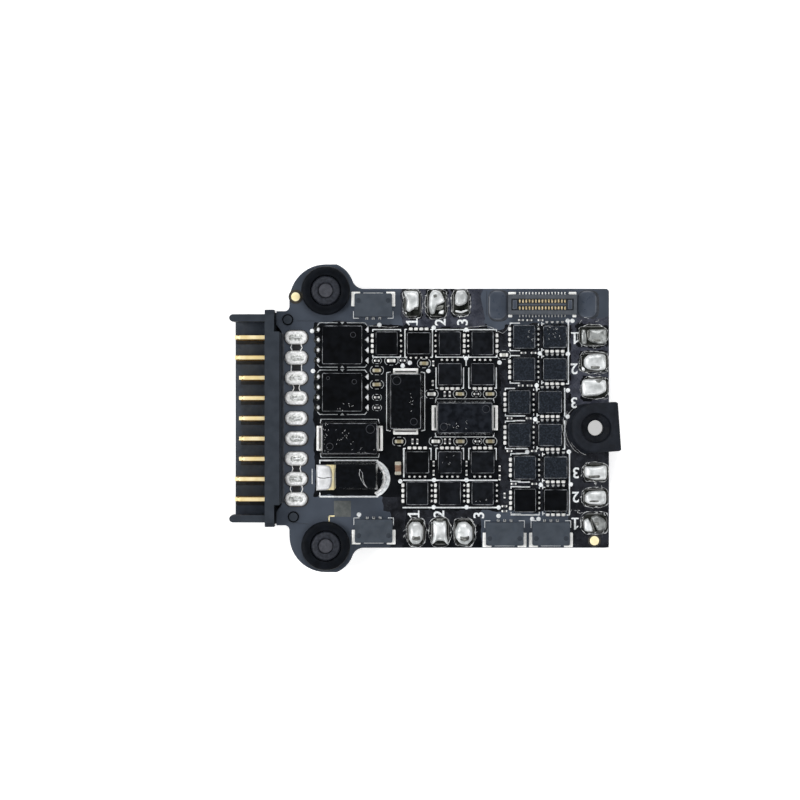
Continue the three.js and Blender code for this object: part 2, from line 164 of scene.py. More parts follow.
class Shape:
    """Vertices and faces gathered in millimetres, then made into one object."""

    def __init__(self):
        self.vertices = []
        self.faces = []

    def skin(self, rings, loop=False):
        """Joins each ring of points to the next, and closes the ends unless the rings make a loop."""
        start = len(self.vertices)
        count = len(rings[0])
        for ring in rings:
            self.vertices.extend(ring)
        for level in range(len(rings) if loop else len(rings) - 1):
            low = start + level * count
            high = start + (level + 1) % len(rings) * count
            for here, after in sides(list(range(count))):
                self.faces.append((low + here, low + after, high + after, high + here))
        if not loop:
            top = start + (len(rings) - 1) * count
            self.faces.append(tuple(reversed(range(start, start + count))))
            self.faces.append(tuple(range(top, top + count)))

    def stack(self, outline, levels, x=0, y=0, z=BOARD_TOP, turn=0):
        """A closed body through the outline at each (height, inset) level."""
        place = Matrix.Translation((x, y, z)) @ Matrix.Rotation(math.radians(turn), 4, "Z")
        self.skin([[place @ Vector((u, v, height)) for u, v in outline(inset)] for height, inset in levels])

    def block(self, x, y, length, width, height, corner=0.05, edge=0.01, z=BOARD_TOP, turn=0):
        """A flat-topped block with rounded corners."""
        self.stack(rectangle(length, width, corner), slab(height, edge), x, y, z, turn)

    def lathe(self, profile, x=0, y=0, steps=64, ripple=None):
        """A closed turned body: profile is a closed loop of (radius, height)."""
        start = len(self.vertices)
        count = len(profile)
        for step in range(steps):
            angle = 2 * math.pi * step / steps
            for index, (radius, height) in enumerate(profile):
                if ripple and index in ripple:
                    radius += ripple[index] * (step % 2)
                place = (x + radius * math.cos(angle), y + radius * math.sin(angle), height)
                self.vertices.append(Vector(place))
        for step in range(steps):
            here = start + step * count
            there = start + (step + 1) % steps * count
            for index, after in sides(list(range(count))):
                self.faces.append((here + index, there + index, there + after, here + after))

    def roughen(self, amount, size, lift=0.0):
        """Moves every vertex by smooth noise."""
        for point in self.vertices:
            shift = noise.noise_vector(point / size) * amount
            shift.z *= lift
            point += shift

    def make(self, name, surface, slot=None, sharp=35, replaces=()):
        mesh = bpy.data.meshes.new(name)
        mesh.from_pydata([tuple(point * MM) for point in self.vertices], [], self.faces)
        mesh.validate()
        merge_doubles(mesh)
        mesh.shade_smooth()
        mesh.set_sharp_from_angle(angle=math.radians(sharp))
        mesh.materials.append(surface)
        piece = bpy.data.objects.new(name, mesh)
        bpy.context.scene.collection.objects.link(piece)
        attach(piece, "root")
        if replaces:
            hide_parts(*replaces)
        return piece


def merge_doubles(mesh):
    work = bmesh.new()
    work.from_mesh(mesh)
    bmesh.ops.remove_doubles(work, verts=work.verts, dist=1e-7)
    work.to_mesh(mesh)
    work.free()


# ---------------------------------------------------------------- materials


def set_sockets(node, **values):
    for socket, value in values.items():
        node.inputs[socket.replace("_", " ")].default_value = value
    return node


def material(
    name, dark, light, rough, metallic=0.0, grain=1.5, bump=0.15, bump_grain=12, depth=0.01, **extra
):
    """Two noise-mixed colours, a roughness range and a fine bump. Grains are per millimetre."""
    made = bpy.data.materials.new(name)
    made.use_nodes = True
    nodes = made.node_tree.nodes
    links = made.node_tree.links
    shader = set_sockets(nodes["Principled BSDF"], Metallic=metallic, **extra)
    place = nodes.new("ShaderNodeTexCoord").outputs["Object"]

    def noise_at(scale, detail):
        texture = set_sockets(nodes.new("ShaderNodeTexNoise"), Scale=scale / MM, Detail=detail)
        links.new(place, texture.inputs["Vector"])
        return texture.outputs["Fac"]

    tone = nodes.new("ShaderNodeValToRGB")
    for stop, position, colour in zip(tone.color_ramp.elements, (0.36, 0.64), (dark, light)):
        stop.position = position
        stop.color = (*colour, 1)
    links.new(noise_at(grain, 4), tone.inputs["Fac"])
    links.new(tone.outputs["Color"], shader.inputs["Base Color"])

    gloss = nodes.new("ShaderNodeMapRange")
    set_sockets(gloss, From_Min=0.3, From_Max=0.7, To_Min=rough[0], To_Max=rough[1])
    links.new(noise_at(grain * 2.3, 3), gloss.inputs["Value"])
    links.new(gloss.outputs["Result"], shader.inputs["Roughness"])

    relief = set_sockets(nodes.new("ShaderNodeBump"), Strength=bump, Distance=depth * MM)
    links.new(noise_at(bump_grain, 3), relief.inputs["Height"])
    links.new(relief.outputs["Normal"], shader.inputs["Normal"])
    return made


GLAZE = {"Coat_Weight": 0.6, "Coat_Roughness": 0.06}

MASK = material("solder_mask", (0.025, 0.034, 0.050), (0.047, 0.060, 0.084), (0.45, 0.62), grain=0.12,
                Specular_IOR_Level=0.4)
MASK_PLUG = material("filled_pad", (0.042, 0.052, 0.071), (0.055, 0.067, 0.089), (0.25, 0.4), grain=0.6)
COAT = material("clear_coated_board", (0.0025, 0.003, 0.004), (0.0065, 0.0075, 0.0095), (0.08, 0.22),
                grain=0.7, bump=0.5, bump_grain=1.6, depth=0.05)
MIDDLE_COAT = material("middle_clear_coat", (0.006, 0.0065, 0.0085), (0.020, 0.022, 0.028), (0.15, 0.3),
                       grain=0.9, bump=0.5, bump_grain=1.8, depth=0.04)
THIN_COAT = material("thin_clear_coat", (0.022, 0.024, 0.034), (0.052, 0.056, 0.074), (0.2, 0.35),
                     grain=0.8, bump=0.4, bump_grain=2.0, depth=0.03)
# Painted highlights: pale grey for the coat's folds and rims, standing in for the light they catch.
WRINKLE_HIGHLIGHT = material("coat_wrinkles", (0.14, 0.15, 0.16), (0.62, 0.63, 0.63), (0.1, 0.3), grain=3)
# Dark lines of the buried traces, and painted shade: the shadows beside the filled pads and the shade in the
# connector's seam.
TRACE_DARK_AND_SHADE = material("trace_dark_and_painted_shade", (0.012, 0.015, 0.021), (0.024, 0.029, 0.039), (0.3, 0.5), grain=2)
# Painted highlights: grey lines along the chips' top edges, standing in for the light the coat catches there.
EDGE = material("painted_edge_highlights", (0.028, 0.032, 0.037), (0.155, 0.165, 0.18), (0.15, 0.35), grain=2.2)
SUBSTRATE = material("bare_substrate", (0.008, 0.006, 0.003), (0.02, 0.015, 0.008), (0.4, 0.6), grain=3)
PATCH = material("plain_patch", (0.052, 0.060, 0.060), (0.080, 0.086, 0.084), (0.5, 0.7), grain=2)
SILK = material("white_print", (0.56, 0.59, 0.61), (0.84, 0.86, 0.87), (0.5, 0.7), grain=4)
THIN_SILK = material("thin_white_print", (0.26, 0.28, 0.29), (0.46, 0.48, 0.49), (0.5, 0.7), grain=4)

HOUSING = material("connector_nylon", (0.015, 0.021, 0.030), (0.022, 0.029, 0.040), (0.5, 0.68),
                   grain=0.8, bump=0.2, bump_grain=9, Specular_IOR_Level=0.3)
# Painted light: a lighter, bluer copy of the housing's nylon for the bay's floor, standing in for the light
# that the rib and blades keep off it.
BAY_PAINTED_LIGHT = material("connector_bay", (0.019, 0.028, 0.045), (0.029, 0.041, 0.064), (0.5, 0.7), grain=0.8)
SIGNAL = material("signal_plastic", (0.025, 0.034, 0.047), (0.036, 0.047, 0.063), (0.42, 0.6), grain=0.9)
PALE_SIGNAL = material(
    "pale_socket_plastic", (0.044, 0.051, 0.062), (0.060, 0.069, 0.083), (0.42, 0.6), grain=2
)
RUBBER = material("rubber", (0.0045, 0.0062, 0.0100), (0.0080, 0.0106, 0.0165), (0.6, 0.8),
                  grain=1.0, bump=0.3, bump_grain=7, Specular_IOR_Level=0.2)
DARK_RUBBER = material("dark_rubber", (0.0012, 0.0020, 0.0036), (0.0032, 0.0046, 0.0074), (0.45, 0.65),
                       grain=1.0, bump=0.3, bump_grain=7, Specular_IOR_Level=0.08)
BLACK_STEEL = material("black_steel", (0.009, 0.011, 0.016), (0.025, 0.028, 0.038), (0.45, 0.65), grain=3,
                       Specular_IOR_Level=0.25)
# Painted light: a lighter copy of the black steel for the floor of each screw's socket, standing in for the
# light that falls on it.
LIT_SOCKET_STEEL = material("socket_floor_painted_light", (0.034, 0.036, 0.045), (0.054, 0.056, 0.068), (0.45, 0.65), grain=3,
                      Specular_IOR_Level=0.3)

GOLD = material(
    "gold_plate", (0.84, 0.66, 0.31), (0.95, 0.81, 0.50), (0.45, 0.58), metallic=0.4, grain=0.8,
    bump=0.05,
)
BLADE_SHADE = material("blade_shade", (0.0040, 0.0045, 0.0060), (0.0085, 0.0095, 0.0120), (0.6, 0.8), grain=2)
# Painted reflection: a warm brown fringe beside each blade, standing in for the gold's light reflected onto
# the bay's floor.
BLADE_REFLECTION_PAINT = material("painted_blade_reflection", (0.085, 0.046, 0.008), (0.14, 0.080, 0.015), (0.5, 0.7), grain=2)
# Painted shade: a darker copy of the gold, laid in strips along each blade's long edges where its rounded
# sides turn away from the light.
GOLD_SHADE_PAINT = material("painted_gold_shade", (0.16, 0.095, 0.025), (0.26, 0.16, 0.045), (0.5, 0.7), grain=2)
COPPER_MARK = material("gold_mark", (0.90, 0.77, 0.43), (0.98, 0.89, 0.58), (0.4, 0.55), metallic=0.2)
SOCKET_GOLD = material(
    "socket_gold", (0.42, 0.33, 0.18), (0.66, 0.54, 0.33), (0.35, 0.5), metallic=0.5, grain=3
)

SOLDER = material("solder", (0.40, 0.42, 0.42), (0.86, 0.88, 0.89), (0.30, 0.42),
                  metallic=0.2, grain=0.7, bump=0.3, bump_grain=3.0, depth=0.03)
DULL_SOLDER = material("dull_solder", (0.10, 0.105, 0.105), (0.36, 0.375, 0.37), (0.25, 0.4),
                       metallic=0.3, grain=1.1, bump=0.3, bump_grain=3.0, depth=0.03)
# Painted shade: darker solder for the hollows between the bright bodies on the motor pads.
SOLDER_HOLLOW_SHADE = material(
    "painted_solder_hollow_shade", (0.05, 0.052, 0.05), (0.22, 0.225, 0.21), (0.2, 0.4), metallic=0.3, grain=1.2
)
PALE_SOLDER = material("pale_solder", (0.66, 0.67, 0.68), (0.97, 0.98, 1.0), (0.35, 0.5),
                       metallic=0.25, grain=1.1, bump=0.3, bump_grain=2)
FROSTED_SOLDER = material("frosted_solder", (0.68, 0.69, 0.69), (1.0, 1.0, 1.0), (0.35, 0.55),
                          metallic=0.2, grain=3.2, bump=0.5, bump_grain=5, depth=0.03)
CRAZED_SOLDER = material("crazed_solder", (0.28, 0.29, 0.28), (0.84, 0.86, 0.84), (0.3, 0.5),
                         metallic=0.3, grain=3.4, bump=0.6, bump_grain=6)
MENISCUS = material(
    "dark_flux", (0.003, 0.0035, 0.003), (0.019, 0.021, 0.018), (0.15, 0.3), grain=1.4, bump=0.3,
    Specular_IOR_Level=0.3,
)
TIN = material("tinned_pads", (0.84, 0.84, 0.82), (1.0, 1.0, 0.98), (0.35, 0.5), metallic=0.15, grain=3)
DIM_TIN = material("dim_tin", (0.20, 0.205, 0.21), (0.50, 0.51, 0.51), (0.3, 0.5), metallic=0.2, grain=3)
DULL_TIN = material(
    "dull_end_caps", (0.26, 0.25, 0.21), (0.50, 0.48, 0.40), (0.35, 0.5), metallic=0.25, grain=3
)

EPOXY = material("chip_epoxy", (0.0008, 0.0010, 0.0014), (0.0030, 0.0036, 0.0050), (0.09, 0.2),
                 grain=1.1, bump=0.35, bump_grain=2.2, depth=0.03, **GLAZE)
HAZY_EPOXY = material("hazy_chip_epoxy", (0.0030, 0.0036, 0.0048), (0.0090, 0.0105, 0.0140), (0.1, 0.24),
                      grain=1.4, bump=0.45, bump_grain=3, depth=0.03, **GLAZE)
FROSTED_EPOXY = material(
    "frosted_chip_epoxy", (0.0075, 0.0098, 0.0135), (0.0200, 0.0255, 0.0345), (0.12, 0.26), grain=4.5,
    bump=0.5, bump_grain=6, depth=0.015, **GLAZE,
)
CASE = material("capacitor_case", (0.0010, 0.0013, 0.0018), (0.0040, 0.0050, 0.0070), (0.1, 0.22),
                grain=2.4, bump=0.35, bump_grain=1.8, depth=0.04, **GLAZE)
WORN_CASE = material("worn_capacitor_case", (0.0030, 0.0040, 0.0062), (0.0125, 0.0150, 0.0205), (0.1, 0.22),
                     grain=1.6, bump=0.35, bump_grain=1.8, depth=0.04, **GLAZE)
EMBOSS = material("moulding_marks", (0.020, 0.022, 0.027), (0.040, 0.043, 0.050), (0.3, 0.5), grain=3)
CERAMIC = material("capacitor_ceramic", (0.22, 0.185, 0.10), (0.34, 0.30, 0.185), (0.3, 0.5), grain=3)
CERAMIC_BROWN = material(
    "capacitor_ceramic_brown", (0.13, 0.075, 0.05), (0.21, 0.125, 0.08), (0.3, 0.5), grain=3
)
PALE = material("pale_ceramic", (0.34, 0.34, 0.32), (0.48, 0.48, 0.45), (0.35, 0.55), grain=3)
RESISTOR = material("resistor_glass", (0.06, 0.063, 0.067), (0.15, 0.155, 0.16), (0.2, 0.4), grain=3)
FERRITE = material("ferrite", (0.035, 0.035, 0.037), (0.06, 0.06, 0.062), (0.6, 0.8), grain=5, bump=0.5)


# ---------------------------------------------------------------- carried-over CAD nodes

# Transistors whose tops are clear of the haze that the coat leaves on the others.
CLEAR_TOPS = ["mosfet_upper_1", "mosfet_upper_2", "mosfet_lower_1", "mosfet_rear_11", "mosfet_rear_12"]


def finish_node(name, surface, edge, segments=2):
    """Gives a CAD node its material and rounded edges."""
    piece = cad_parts[name]
    piece.data.materials.clear()
    piece.data.materials.append(surface)
    bevel = piece.modifiers.new("rounded_edges", "BEVEL")
    bevel.width = edge * MM
    bevel.segments = segments
    bevel.limit_method = "ANGLE"
    bevel.angle_limit = math.radians(40)
    bevel.harden_normals = False


def finish_cad_nodes():
    finish_node("pcb", MASK, 0.05, 1)
    finish_node("battery_connector_housing", HOUSING, 0.12)
    for name in BLADES:
        finish_node(name, GOLD, 0.17, 3)
    for name in MOSFETS:
        hazy = FROSTED_EPOXY if name.startswith("mosfet_rear") else HAZY_EPOXY
        finish_node(name, EPOXY if name in CLEAR_TOPS else hazy, 0.09)
    for name in POWER_MOSFETS:
        finish_node(name, EPOXY, 0.08)
    for name in CAPACITORS:
        finish_node(name, WORN_CASE if name == CAPACITORS[2] else CASE, 0.06)
    finish_node("bulk_capacitor", CASE, 0.15)
    finish_node("board_to_board_connector", PALE_SIGNAL, 0.05)
    for name in SOCKETS:
        finish_node(name, SIGNAL, 0.07)
    for name in CONTROLLERS + ["regulator_chip"]:
        finish_node(name, EPOXY, 0.05)
    finish_node("power_inductor", FERRITE, 0.15)


# ---------------------------------------------------------------- rubber mounts and screws


def damper_profile(pocket_floor):
    """A rubber spool that grips the board in its groove, with a pocket for the screw's head."""
    low, high = box_mm("ear_damper_upper")
    radius = (high.x - low.x) / 2
    top = high.z
    pocket, bore, neck = 1.9, 1.15, 2.45
    return [
        (bore, 0), (radius - 0.3, 0), (radius - 0.09, 0.09), (radius, 0.3), (radius, BOARD_BOTTOM),
        (neck, BOARD_BOTTOM), (neck, BOARD_TOP), (radius, BOARD_TOP), (radius, top - 0.4),
        (radius - 0.1, top - 0.13), (radius - 0.35, top), (pocket + 0.15, top), (pocket + 0.04, top - 0.05),
        (pocket, top - 0.16), (pocket, pocket_floor), (bore, pocket_floor),
    ]


def ear_mounts():
    """A rubber damper in each ear, and a knurled screw with a shallow socket in the damper."""
    pocket_floor = 3.0
    damper_loop = damper_profile(pocket_floor)
    low, high = box_mm("ear_screw_upper")
    foot, crown = low.z, high.z
    knurl = 0.07
    head = (high.x - low.x) / 2 + 0.03
    core, shank, socket = 0.86, 0.98, 0.93
    axis = 0.02
    screw_loop = [
        (axis, foot), (core, foot), (shank, foot + 0.12), (shank, pocket_floor), (head - knurl, pocket_floor),
        (head - knurl, pocket_floor + 0.1), (head - knurl, crown - 0.25), (head - 0.22, crown - 0.06),
        (head - 0.36, crown), (1.1, crown), (shank, crown - 0.08),
        (socket, crown - 0.25), (socket, crown - 0.4),
        (axis, crown - 0.45),
    ]
    core_loop = [
        (axis, crown - 0.42), (core, crown - 0.42), (core, crown - 0.22), (core - 0.08, crown - 0.16),
        (axis, crown - 0.16),
    ]
    for side in ("upper", "lower"):
        middle = centre_of(f"ear_damper_{side}")
        damper, screw, centre = Shape(), Shape(), Shape()
        damper.lathe(damper_loop, middle.x, middle.y, steps=96)
        damper.make(f"rubber_damper_{side}", DARK_RUBBER, "rubber", 30, [f"ear_damper_{side}"])
        screw.lathe(screw_loop, middle.x, middle.y, steps=96, ripple={5: knurl, 6: knurl})
        screw.make(f"knurled_screw_{side}", BLACK_STEEL, "black_steel", 25, [f"ear_screw_{side}"])
        # The socket's floor is painted lighter than the screw, as painted light.
        centre.lathe(core_loop, middle.x, middle.y, steps=48)
        centre.make(f"screw_core_{side}", LIT_SOCKET_STEEL, "black_steel")


def rear_pad():
    """A D-shaped rubber block, round towards the board, with a stepped through hole."""
    top = box_mm("rear_mount_pad")[1].z
    radius, reach, flange = 3.05, 2.9, 3.5
    neck, bore, pocket = 1.95, 0.95, 1.82
    directions = [2 * math.pi * step / 96 for step in range(96)]

    def turned_point(u, v, z):
        return Vector((*local_point(Vector(PAD_CENTRE), 4, u, v), z))

    def ring(size, half, z, edge=0.0):
        """A D outline as seen from the hole's axis, one point for each direction."""
        points = []
        for angle in directions:
            x, y = math.cos(angle), math.sin(angle)
            flat = (half - edge) / max(abs(y), 1e-6)
            if x > 0:
                away = min((reach - edge) / max(x, 1e-6), flat)
            elif size > half:
                away = min(size - edge, flat)
            else:
                away = size - edge
            points.append(turned_point(away * x, away * y, z))
        return points

    def circle(size, z):
        return [turned_point(size * math.cos(angle), size * math.sin(angle), z) for angle in directions]

    pad = Shape()
    rings = [
        circle(bore, 0),
        ring(radius, radius, 0, 0.15),
        ring(radius, radius, 0.15),
        ring(radius, radius, BOARD_BOTTOM),
        ring(neck, neck, BOARD_BOTTOM),
        ring(neck, neck, BOARD_TOP),
        ring(flange, radius, BOARD_TOP),
        ring(flange, radius, BOARD_TOP + 0.15),
        ring(flange - 0.12, radius, BOARD_TOP + 0.3),
        ring(radius + 0.08, radius, BOARD_TOP + 0.62),
        ring(radius, radius, BOARD_TOP + 0.8),
        ring(radius, radius, top - 0.2),
        ring(radius, radius, top - 0.06, 0.05),
        ring(radius, radius, top, 0.2),
        circle(pocket + 0.22, top),
        circle(pocket + 0.06, top - 0.07),
        circle(pocket, top - 0.25),
        circle(pocket - 0.1, top - 1.6),
        circle(bore + 0.2, top - 1.75),
        circle(bore, top - 1.95),
    ]
    pad.skin(rings, loop=True)
    pad.make("rear_rubber_pad", RUBBER, "rubber", 30, ["rear_mount_pad"])


# ---------------------------------------------------------------- transistors' solder

TURNS = {"left": 0, "down": 90, "right": 180, "up": 270}
UPPER_FACES = ["left", "up", "right", "right", "down", "down"]
PADS_FACE = dict(zip(numbered("mosfet_upper", 6), UPPER_FACES))
for number in range(1, 4):
    PADS_FACE[f"mosfet_lower_{number}"] = "up"
    PADS_FACE[f"mosfet_lower_{number + 3}"] = "left"
for number in range(1, 13):
    PADS_FACE[f"mosfet_rear_{number}"] = "left" if number % 2 else "down"


def mosfet_joints():
    """Solder at the leads: four wide joints on the source side, four small ones opposite."""
    source = rectangle(0.42, 0.5, 0.14)
    drain = ellipse(0.34, 0.32, 12)
    worn = polygon([(-0.22, -0.06), (0.2, -0.2), (0.2, 0.2), (-0.22, 0.06)])
    joints, dim = Shape(), Shape()
    for name, face in PADS_FACE.items():
        centre = centre_of(name)
        turn = TURNS[face]
        for row in (-0.975, -0.325, 0.325, 0.975):
            joints.stack(source, dome(0.24, 0.08, 3), *local_point(centre, turn, -1.76, row), turn=turn)
            place = local_point(centre, turn, 1.75, row)
            if name.startswith("mosfet_rear") and face == "down":
                dim.stack(worn, slab(0.2, 0.05), *place, turn=turn)
            else:
                joints.stack(drain, dome(0.24, 0.1, 3), *place, turn=turn)
    joints.make("mosfet_solder_joints", TIN)
    dim.make("mosfet_worn_joints", DIM_TIN)


def power_mosfet_joints():
    """Round joints at the left in pools of coat, and pointed ones at the right."""
    left = ellipse(0.5, 0.6, 14)
    right = polygon([(-0.32, 0), (0.18, -0.42), (0.26, -0.3), (0.26, 0.3), (0.18, 0.42)])
    pool = ellipse(0.92, 0.96, 20)
    joints, pools = Shape(), Shape()
    for name in POWER_MOSFETS:
        centre = centre_of(name)
        for row in (-1.905, -0.635, 0.635, 1.905):
            joints.stack(left, dome(0.42, 0.2), centre.x - 2.93, centre.y + row)
            pools.stack(pool, dome(0.12, 0.2, 3), centre.x - 3.08, centre.y + row)
            joints.stack(right, dome(0.34, 0.2), centre.x + 3.02, centre.y + row)
    joints.make("power_mosfet_solder_joints", PALE_SOLDER)
    pools.make("power_mosfet_coat_pools", MENISCUS, sharp=80)


# ---------------------------------------------------------------- capacitors' terminals


def capacitor_terminals():
    """A tinned strap at each end of the moulded capacitors, on its solder."""
    straps = Shape()
    for name, turn in CAPACITOR_TURNS.items():
        centre = centre_of(name)
        for end in (-1, 1):
            straps.block(*local_point(centre, turn, end * 3.92, 0), 0.36, 3.1, 0.36, 0.1, 0.08, turn=turn)
            for side in (-1, 1):
                place = local_point(centre, turn, end * 3.8, side * 1.42)
                straps.block(*place, 0.5, 0.26, 0.3, 0.08, 0.06, turn=turn)
    straps.make("capacitor_terminals", TIN)


def bulk_terminals():
    """The wide silver pad at the left of the bulk capacitor, its gold margin, and the right end."""
    left_end = box_mm("bulk_capacitor")[0].x
    middle = centre_of("bulk_capacitor").y

    def half_disc(inset):
        points = [(-1.02 + inset, 1.58 - inset), (-1.02 + inset, 0), (-1.02 + inset, inset - 1.58)]
        for step in range(21):
            angle = math.radians(-90 + 180 * step / 20)
            away = abs(math.cos(angle)) ** 0.75
            points.append((0.2 + (0.82 - inset) * away, (1.58 - inset) * math.sin(angle)))
        return points

    pad, margin, crease, far = Shape(), Shape(), Shape(), Shape()
    pad.stack(half_disc, dome(0.62, 0.34, 6), left_end - 1.19, middle - 0.17)
    pad.roughen(0.06, 1.1)
    pad.make("bulk_terminal_solder", PALE_SOLDER, sharp=80)
    margin.block(left_end - 0.5, middle - 0.15, 0.98, 3.12, 0.36, 0.04, 0.04)
    margin.make("bulk_terminal_margin", COPPER_MARK)
    path = [(-13.4, -7.22), (-13.0, -7.38), (-12.5, -7.42), (-12.0, -7.33), (-11.6, -7.3)]
    band(crease, path, [0.05, 0.14, 0.1, 0.14, 0.05], height=0.02, top=BOARD_TOP + 0.605)
    crease.make("bulk_terminal_crease", EMBOSS)
    for step in range(15):
        turn = -66 + 132 * step / 14
        x = BULK_END[0] + 1.62 * math.cos(math.radians(turn))
        y = BULK_END[1] + 1.95 * math.sin(math.radians(turn))
        far.stack(ellipse(0.42, 0.5, 10), dome(0.3, 0.16, 3), x, y, turn=turn)
    far.roughen(0.07, 0.3)
    far.make("bulk_far_terminal", FROSTED_SOLDER, sharp=80)


# ---------------------------------------------------------------- battery connector's bay and seam


def connector_bay():
    """The bay's floor between the blades, painted lighter than the housing as painted light, with painted
    reflections of the blades, painted shade below them and painted shade along their edges.
    """
    floor_top = 1.2
    above = floor_top + 0.01
    left, right = -23.52, -19.82
    plate, painted_reflections, shades, edges = Shape(), Shape(), Shape(), Shape()
    plate.block((left + right) / 2, 0, right - left, 25.7, 0.02, z=floor_top)
    plate.make("bay_floor_painted_light", BAY_PAINTED_LIGHT, "housing_plastic")
    for name in BLADES:
        low, high = box_mm(name)
        length = right - low.x - 0.1
        middle = low.x + 0.1 + length / 2
        # Painted reflections of the gold on the floor, one strip along each side of the blade.
        for y in (low.y - 0.06, high.y + 0.02):
            painted_reflections.block(middle, y, length, 0.2, 0.03, z=above)
        shades.block(middle, low.y - 0.36, length, 0.5, 0.02, 0.1, z=above)
        left_end = low.x + 0.35
        span = right - left_end
        # Painted shade: darker strips along both long edges of the blade's top.
        for y in (low.y + 0.02, high.y - 0.02):
            edges.block(left_end + span / 2, y, span, 0.08, 0.12, 0.02, 0.02, z=high.z - 0.16)
    edges.make("painted_shade_strips", GOLD_SHADE_PAINT, "gold_plate")
    painted_reflections.make("painted_blade_reflection", BLADE_REFLECTION_PAINT, "housing_plastic")
    shades.make("blade_shade", BLADE_SHADE, "housing_plastic")


def connector_seam():
    """A dark bead laid in the groove between the connector's rib and the board's edge as painted shade,
    behind a lip of the housing's plastic.
    """
    lip, bead = Shape(), Shape()
    lip.block(-17.95, 0, 0.2, 21.2, 0.6, 0.03, 0.05, z=BOARD_TOP - 0.1)
    lip.make("connector_lip", HOUSING, "housing_plastic")
    # Painted shade: a dark strip on the board along the foot of the rib.
    bead.stack(rectangle(0.42, 21.0, 0.15), dome(0.05, 0.1, 3), -17.68, 0)
    bead.make("connector_seam", TRACE_DARK_AND_SHADE, "solder_mask")


# ---------------------------------------------------------------- solder at blades and motor pads

BLADE_JOINT_X = -15.98
JOINT_LEVELS = [(0, 0), (0.15, -0.01), (0.36, 0.06), (0.5, 0.16), (0.54, 0.28), (0.5, 0.4), (0.48, 0.62)]


def blade_joints():
    """A frosted joint on each blade's tail, with a crazed hollow in its top."""
    rng = random.Random(4)
    joints, basins, tips = Shape(), Shape(), Shape()
    for name in BLADES:
        y = centre_of(name).y
        length = 2.74 + rng.uniform(-0.05, 0.05)
        joints.stack(rectangle(length, 1.68, 0.78, 8), JOINT_LEVELS, BLADE_JOINT_X, y)
        shift = rng.uniform(-0.05, 0.25)
        basin = rectangle(1.75, 0.86, 0.4, 8)
        basins.stack(basin, dome(0.1, 0.3, 4), BLADE_JOINT_X + shift, y, BOARD_TOP + 0.46)
        turn = rng.uniform(-8, 8)
        tip = rectangle(0.8, 0.14, 0.06)
        tips.stack(tip, dome(0.05, 0.04, 3), BLADE_JOINT_X + 0.12, y, BOARD_TOP + 0.55, turn)
    joints.roughen(0.04, 0.5, lift=0.8)
    basins.roughen(0.07, 0.4, lift=0.5)
    joints.make("blade_solder_joints", FROSTED_SOLDER, sharp=80)
    basins.make("blade_solder_basins", CRAZED_SOLDER, sharp=80)
    tips.make("blade_tail_tips", PALE_SOLDER)


def joint_filaments():
    """Thin strands of solder between some battery joints, round small dark windows."""
    strands, windows = Shape(), Shape()
    middle = -15.95
    tops = [centre_of(name).y for name in reversed(BLADES)]
    for number in (0, 1, 2, 6, 7):
        high, low = tops[number] - 0.78, tops[number + 1] + 0.78
        for side in (-1, 1):
            x = middle + side * (0.55 + 0.12 * math.sin(number * 2.1))
            sway = 0.16 * side * math.cos(number * 1.7)
            band(strands, [(x, high), (x + sway, (high + low) / 2), (x - sway * 0.4, low)], 0.11, height=0.05)
        windows.block(middle, (high + low) / 2, 0.95, 0.6, 0.02, 0.1)
    strands.make("joint_strands", TIN, sharp=80)
    windows.make("joint_windows", BLADE_SHADE, "solder_mask")


def joint_halos():
    """A dark moat of clear coat round each battery joint."""
    halos = Shape()
    for name in BLADES:
        halos.stack(rectangle(3.0, 1.9, 0.9, 8), slab(0.015), -15.94, centre_of(name).y - 0.03)
    halos.make("joint_halos", SUBSTRATE, "solder_mask")


# Each pad is (x, y, length, width).
MOTOR_PADS = [
    (-1.56, 14.2, 1.6, 2.9), (1.39, 14.2, 1.95, 2.9), (4.42, 14.35, 1.6, 2.7),
    (-1.16, -14.1, 1.65, 2.8), (1.84, -14.0, 1.8, 2.9), (4.8, -14.1, 2.0, 2.8),
    (20.75, 10.2, 3.1, 2.05), (20.9, 6.93, 2.9, 1.9), (21.1, 3.75, 2.7, 2.0),
    (21.1, -6.65, 2.6, 1.75), (21.05, -9.79, 2.6, 1.7), (21.0, -12.95, 2.6, 1.95),
]
